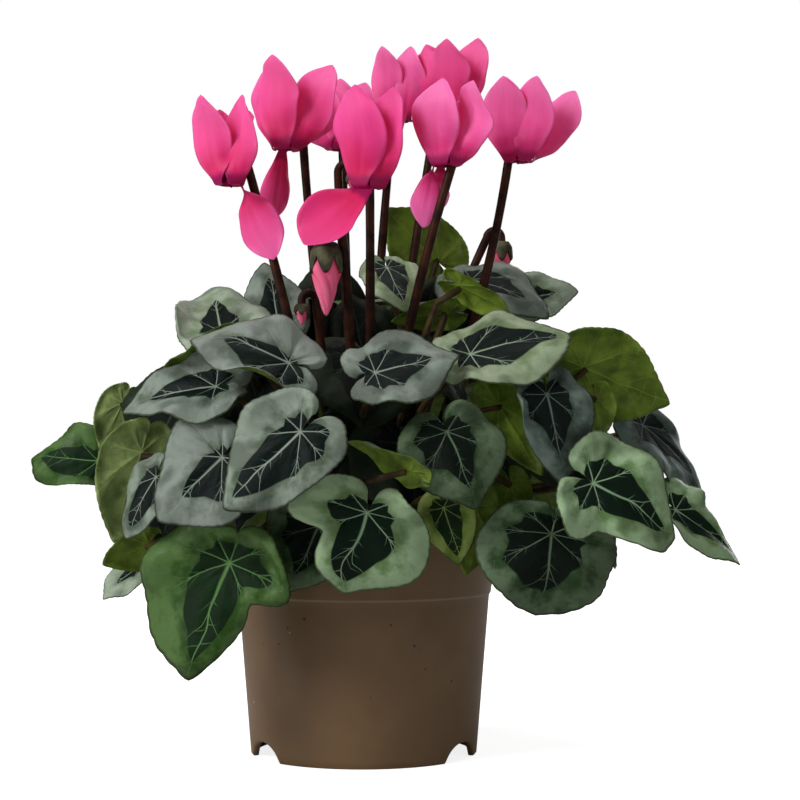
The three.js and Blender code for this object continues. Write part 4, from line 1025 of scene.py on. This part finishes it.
def stem_path(foot, low, high, top, nod, drop):
    """From the hole in the tuber up a cubic curve, round the half circle of the hook and down."""
    start = np.array([*foot, STEM.foot], float)
    side = np.array(top, float) - HOOK.radius * nod - UP * HOOK.radius
    rise = bezier(start, low, high, side, 48)
    chord = unit(bezier(start, low, high, side, 6)[1] - start)
    sunk = start - chord * STEM.hole * np.linspace(1, 0.15, 5)[:, None]
    turn = np.linspace(0, np.pi, 17)[1:, None]
    hook = side + HOOK.radius * ((1 - np.cos(turn)) * nod + np.sin(turn) * UP)
    fall = hook[-1] - UP * np.linspace(0, drop, 7)[1:, None]
    return np.concatenate([sunk, rise, hook, fall])


def add_stem(shape, path, nod):
    """A round bar along the path, thinning evenly to its top and swelling a little by a sine."""
    share = np.linspace(0, 1, len(path))
    radii = mix(STEM.foot_radius, STEM.top_radius, share) * (1 + 0.03 * np.sin(40 * share))
    points = hose(path, radii, STEM_COLUMNS, np.cross(nod, UP))
    shape.grid(points, grid_uv(np.linspace(0, 1, STEM_COLUMNS), np.linspace(0, 1, len(points))),
               wrap=True)


def add_calyx(shape, neck):
    """A cup whose lower edge is drawn out into five pointed lobes that hug the flower's tube."""
    out, up = np.array([(0.0, 0.7), (0.55, 0.68), (0.62, 0.5), (0.9, 0.25), (1.02, 0.0),
                        (1.0, -0.2), (0.97, -0.3), (0.6, -0.28), (0, -0.25)]).T
    points = wheel(out * CALYX.radius, up * CALYX.height, LOBED_COLUMNS)
    lobe = np.abs(np.cos(2.5 * circle(LOBED_COLUMNS))) ** 1.4
    hang = smooth(up, 0.1, -0.28)[:, None] * smooth(out, 0.3, 0.95)[:, None]
    points[..., 2] -= hang * lobe * 1.3
    points[..., :2] *= (1 - 0.05 * (1 - lobe) * (up < 0.5)[:, None])[..., None]
    shape.grid(points + neck, skin=1, wrap=True)


def petal_width(share):
    """Half-width against its greatest: a narrow foot that widens to two thirds of the length."""
    blade = np.sin(np.pi * np.clip(share, 0, 1) ** 1.5).clip(0) ** 0.8
    return (0.24 * (1 - share) ** 2 + blade) / 1.02


def petal(azimuth, seed, rise, length, width, twist=0, sway=0, shift=0):
    """Upper and lower grids of a petal. Its middle line leaves the mouth downwards, turns up at the
    knee and runs on at its rise with a slow sideways sweep, summed up from the tangents. The cross
    lines turn by the twist and by a slow spiral, are nearly flat, roll outwards at one margin and
    ripple a little."""
    rows, cols = PETAL_GRID
    share = np.linspace(0, 1, rows)
    out = aim(azimuth + shift)
    side = np.cross(UP, out)
    stands = rise > 0
    bent = smooth(share, 0, PETAL.knee)[:, None]
    heading = rad(mix(PETAL.dip, rise, bent))
    roll = rad(twist) * smooth(share, PETAL.twist_from, PETAL.twist_to)
    if stands:
        lean = PETAL.lean * np.sin(2 * np.pi * np.clip(share, PETAL.knee, 1))
        heading = heading + rad(lean)[:, None]
        roll = roll + rad(PETAL.spiral) * (share - 0.45) * smooth(share, 0.1, 0.4)
    sweep = PETAL.sweep * math.sin(2.3 * seed + 1) * np.sin(2.2 * np.pi * share - 0.6)
    way = unit(out * np.cos(heading) + UP * np.sin(heading)
               + side * (math.tan(rad(sway)) + sweep[:, None]) * bent)
    start = out * (TUBE.mouth - PETAL.inset - PETAL.sunk) + UP * PETAL.start
    run = np.cumsum((way[:-1] + way[1:]) / 2, axis=0)
    middle = start + np.concatenate([np.zeros((1, 3)), run]) * (length / (rows - 1))
    cross = unit(side - dot(way, side) * way)
    face = np.cross(cross, way)
    cross, face = (v * np.cos(roll)[:, None] + np.cross(way, v) * np.sin(roll)[:, None]
                   for v in (cross, face))
    s = share[:, None, None]
    q = np.linspace(-1, 1, cols)[None, :, None]
    wobble = np.sin(6.5 * s + 2 * seed + 1.5 * np.sign(q))
    uneven = 1 + PETAL.uneven * wobble * smooth(s, 0.3, 0.7)
    half = width / 2 * petal_width(s) * uneven
    grown, late, closing = smooth(s, 0.05, 0.4), smooth(s, 0.55, 1.0), smooth(1 - s, 0, 0.12)
    cup = (0.2 * late - PETAL.cup) * q ** 2 * half * grown
    rolled = PETAL.roll * half * np.clip(q, 0, 1) ** 3 * smooth(s, 0.25, 0.6)
    rolled = rolled * (1 - 0.4 * late) * stands
    crease = -PETAL.crease * np.exp(-(q / 0.1) ** 2) * grown * (1 - late)
    ripple = PETAL.ripple * closing * grown * np.abs(q) ** 1.5
    ripple = ripple * np.sin(7 * s + 2.4 * q + 3 * seed)
    ruffle = PETAL.ruffle * closing * late * q ** 2 * np.sin(19 * s + 4 * q + seed)
    flare = PETAL.flare * length * late ** 2 * math.sin(1.9 * seed + 0.6) * stands
    lift = cup + rolled + crease + ripple + ruffle + flare
    points = (middle[:, None] + cross[:, None] * q * half * (1 - 0.1 * q ** 2 * grown)
              + face[:, None] * lift)
    normal = unit(np.cross(np.gradient(points, axis=1), np.gradient(points, axis=0)))
    thick = 0.5 * PETAL.thickness * mix(0.9, 0.45, np.maximum(np.abs(q), late))
    return points + normal * thick, points - normal * thick, grid_uv(np.linspace(0, 1, cols), share)


def add_cup(shape, mouth):
    """The corolla's short tube, mouth down: a thin-walled bell with a thick rim ring and, inside,
    the style that stands out of it."""
    m, c, h, wall = TUBE.mouth, TUBE.crown, TUBE.height, TUBE.wall
    profile = [(0, h - wall), (c - wall, h - wall - 0.3), (m - wall - 0.1, 1.6), (m - wall, 0.2),
               (m - wall + 0.25, -0.45), (m - 0.35, -0.6), (m - 0.02, -0.3), (m, 0.6),
               (m - 0.1, 1.8), (c + 0.5, h - 1.2), (c - 0.2, h - 0.15), (0, h)]
    points = wheel(*refine(profile, 0.7).T, CUP_COLUMNS)
    points[..., :2] *= (1 + 0.025 * np.cos(10 * circle(CUP_COLUMNS)))[None, :, None]
    shape.grid(points + mouth, skin=1, wrap=True)
    root = h - wall - 0.5
    style = np.array([(0, root), (0.45, root), (0.4, 0), (0.35, -1.2), (0.5, -1.6), (0, -1.9)])
    shape.grid(wheel(*style.T, STYLE_COLUMNS) + mouth, skin=2, wrap=True)


def build_bloom(number, look, at, azimuth, foot, low, high, petals):
    """A stem with its hook and calyx, and a flower: five petals a fifth of a turn apart and the
    tube."""
    mouth, nod = np.array(at, float), aim(azimuth + 180)
    top = mouth - HOOK.radius * nod + UP * (HOOK.rise + HOOK.radius)
    drop = HOOK.rise - TUBE.height - GAP - CALYX.height * CALYX.below
    path = stem_path(foot, low, high, top, nod, drop)
    stem, flower = Shape(), Shape()
    add_stem(stem, path, nod)
    add_calyx(stem, path[-1])
    stem.make(f"bloom_stem_{number}", "flower_stem", [SKINS["flower_stem"], SKINS["calyx"]],
              f"flower_stem_{number}")
    for i, values in enumerate(petals):
        upper, lower, uv = petal(azimuth + 36 + 72 * i, number + 1.7 * i, *values)
        flower.sheet(upper + mouth, lower + mouth, uv)
    add_cup(flower, mouth)
    flower.make(f"bloom_{number}", "petal", [PETAL_FINISHES[look], SKINS["mouth"], SKINS["style"]],
                f"corolla_{number}")


def build_bud(name, top, azimuth, foot, low, high, length):
    """A nodding bud: stem, petals rolled into a drop with five spiral furrows, and five pointed
    sepals that lie on its upper half."""
    nod = aim(azimuth)
    path = stem_path(foot, low, high, top, nod, HOOK.bud_drop)
    shape = Shape()
    add_stem(shape, path, nod)
    radius = BUD.slenderness * length + BUD.radius
    sunk = length + 0.5
    turn = circle(LOBED_COLUMNS)[None]

    def girth(down):
        """Radius of the drop at a share of its length from the neck."""
        return radius * np.interp(down, (0, 0.03, 0.15, 0.4, 0.7, 0.9, 0.98, 1),
                                  (0, 0.62, 0.9, 1.0, 0.62, 0.3, 0.12, 0))

    down = np.linspace(0, 1, 44)
    points = wheel(girth(down), 0.5 - down * sunk, LOBED_COLUMNS)
    furrow = np.abs(np.sin(2.5 * (turn - 2.8 * down[:, None]))) ** 0.6
    points[..., :2] *= (0.78 + 0.22 * furrow)[..., None]
    uv = np.stack(np.broadcast_arrays(furrow, 0.3 + 0.7 * down[:, None]), axis=-1)
    shape.grid(points + path[-1], uv, skin=2, wrap=True)
    reach = length * (0.16 + BUD.sepals * np.abs(np.cos(2.5 * turn)) ** 0.8) + 1.2
    outer = np.linspace(0, 1, 16)[:, None]
    fall = np.concatenate([outer, outer[::-1]]) * reach
    over = np.concatenate([0.45 + 0.15 * np.sin(np.pi * outer), 0 * outer - 0.25])
    wide = np.maximum(girth(fall / sunk), 0.1) + over
    wide[0], wide[-1] = 0, 0
    lift = np.repeat((0.9, 0.3), len(outer))[:, None] - fall
    sepals = np.stack([wide * np.sin(turn), -wide * np.cos(turn), lift], axis=-1)
    shape.grid(sepals + path[-1], skin=1, wrap=True)
    skins = [SKINS["flower_stem"], SKINS["sepal"], PETAL_FINISHES["bud"]]
    shape.make(f"nodding_{name}", "bud", skins, name)


# ---- making the plant

build_pot()
build_soil()
rows = row_leaves()
for row in LEAVES:
    build_leaf(leaf_of(*row))
# The small leaves inside the dome take the shade look, painted shadow.
build_inner(rows, [leaf_of("", "shade", *places, *INNER_SHAPE, i)
                   for i, places in enumerate(INNER)])
build_stalks(rows)
for number, bloom in enumerate(BLOOMS, 1):
    build_bloom(number, *bloom)
for bud in BUDS:
    build_bud(*bud)

# ---- stage, light and camera

FLOOR_REACH = 6.0
FILL = 0.07
CAMERA = Values(x=15.75, y=-850, z=135, width=350, shift=0.0529, sensor=36)
# Lamps: name, place and target in metres, size and power.
LAMPS = [
    ("key", (-0.85, -0.7, 0.95), (0, 0, 0.16), 0.55, 13),
    ("fill", (0.9, -0.9, 0.45), (0, 0, 0.15), 0.8, 2.2),
    ("low", (-1.0, -0.45, 0.16), (0, 0, 0.06), 0.35, 2.6),
    ("back", (0.7, 1.2, 0.6), (0, 0, 0.15), 0.8, 6),
    ("top", (0.05, 0.1, 1.2), (0, 0, 0.2), 0.6, 4),
]


def build_floor():
    """A wide pale floor that fades to the white behind the plant, and is dimmer near the pot as a
    painted shadow.
    """
    mesh = bpy.data.meshes.new("floor")
    far = FLOOR_REACH
    mesh.from_pydata([(-far, -far, 0), (far, -far, 0), (far, far, 0), (-far, far, 0)], [],
                     [(0, 1, 2, 3)])
    material, net, shader = finish("floor_white", roughness=0.9, specular_ior_level=0.0,
                                   base_color=(0.6, 0.6, 0.6, 1), emission_strength=1.0)
    seen = net.out("LightPath", output="Is Camera Ray")
    # Painted shadow: the white that the camera sees is dimmer near the pot.
    glow_with_painted_shadow = net.between(net.distance(net.place()), 0.08, 0.5, 0.84, 1.02)
    net.feed(shader, emission_color=seen * glow_with_painted_shadow)
    mesh.materials.append(material)
    floor = stand("floor", mesh)


def build_lamp(name, place, target, size, power):
    data = bpy.data.lights.new(name, "AREA")
    data.shape, data.size, data.energy = "SQUARE", size, power
    lamp = stand(name, data)
    lamp.location = place
    lamp.rotation_euler = (Vector(target) - Vector(place)).to_track_quat("-Z", "Y").to_euler()


def build_world():
    """White behind the plant, and a dimmer white as fill light."""
    world = bpy.data.worlds.new("studio")
    bpy.context.scene.world = world
    world.use_nodes = True
    net = Net(world.node_tree)
    seen = net.out("LightPath", output="Is Camera Ray")
    net.feed(world.node_tree.nodes["Background"], strength=FILL + seen * (1.0 - FILL),
             color=(1, 1, 1, 1))


def build_camera():
    """A level camera whose lens takes in the named width at the pot's axis."""
    data = bpy.data.cameras.new("camera")
    data.sensor_width = CAMERA.sensor
    data.lens = CAMERA.sensor * -CAMERA.y / CAMERA.width
    data.shift_y = CAMERA.shift
    data.clip_start, data.clip_end = 0.01, 30
    camera = stand("camera", data)
    camera.location = np.array([CAMERA.x, CAMERA.y, CAMERA.z]) * MM + AXIS
    camera.rotation_euler = (math.pi / 2, 0, 0)
    bpy.context.scene.camera = camera


build_floor()
build_world()
for lamp in LAMPS:
    build_lamp(*lamp)
build_camera()
bpy.context.scene.view_settings.view_transform = "Standard"
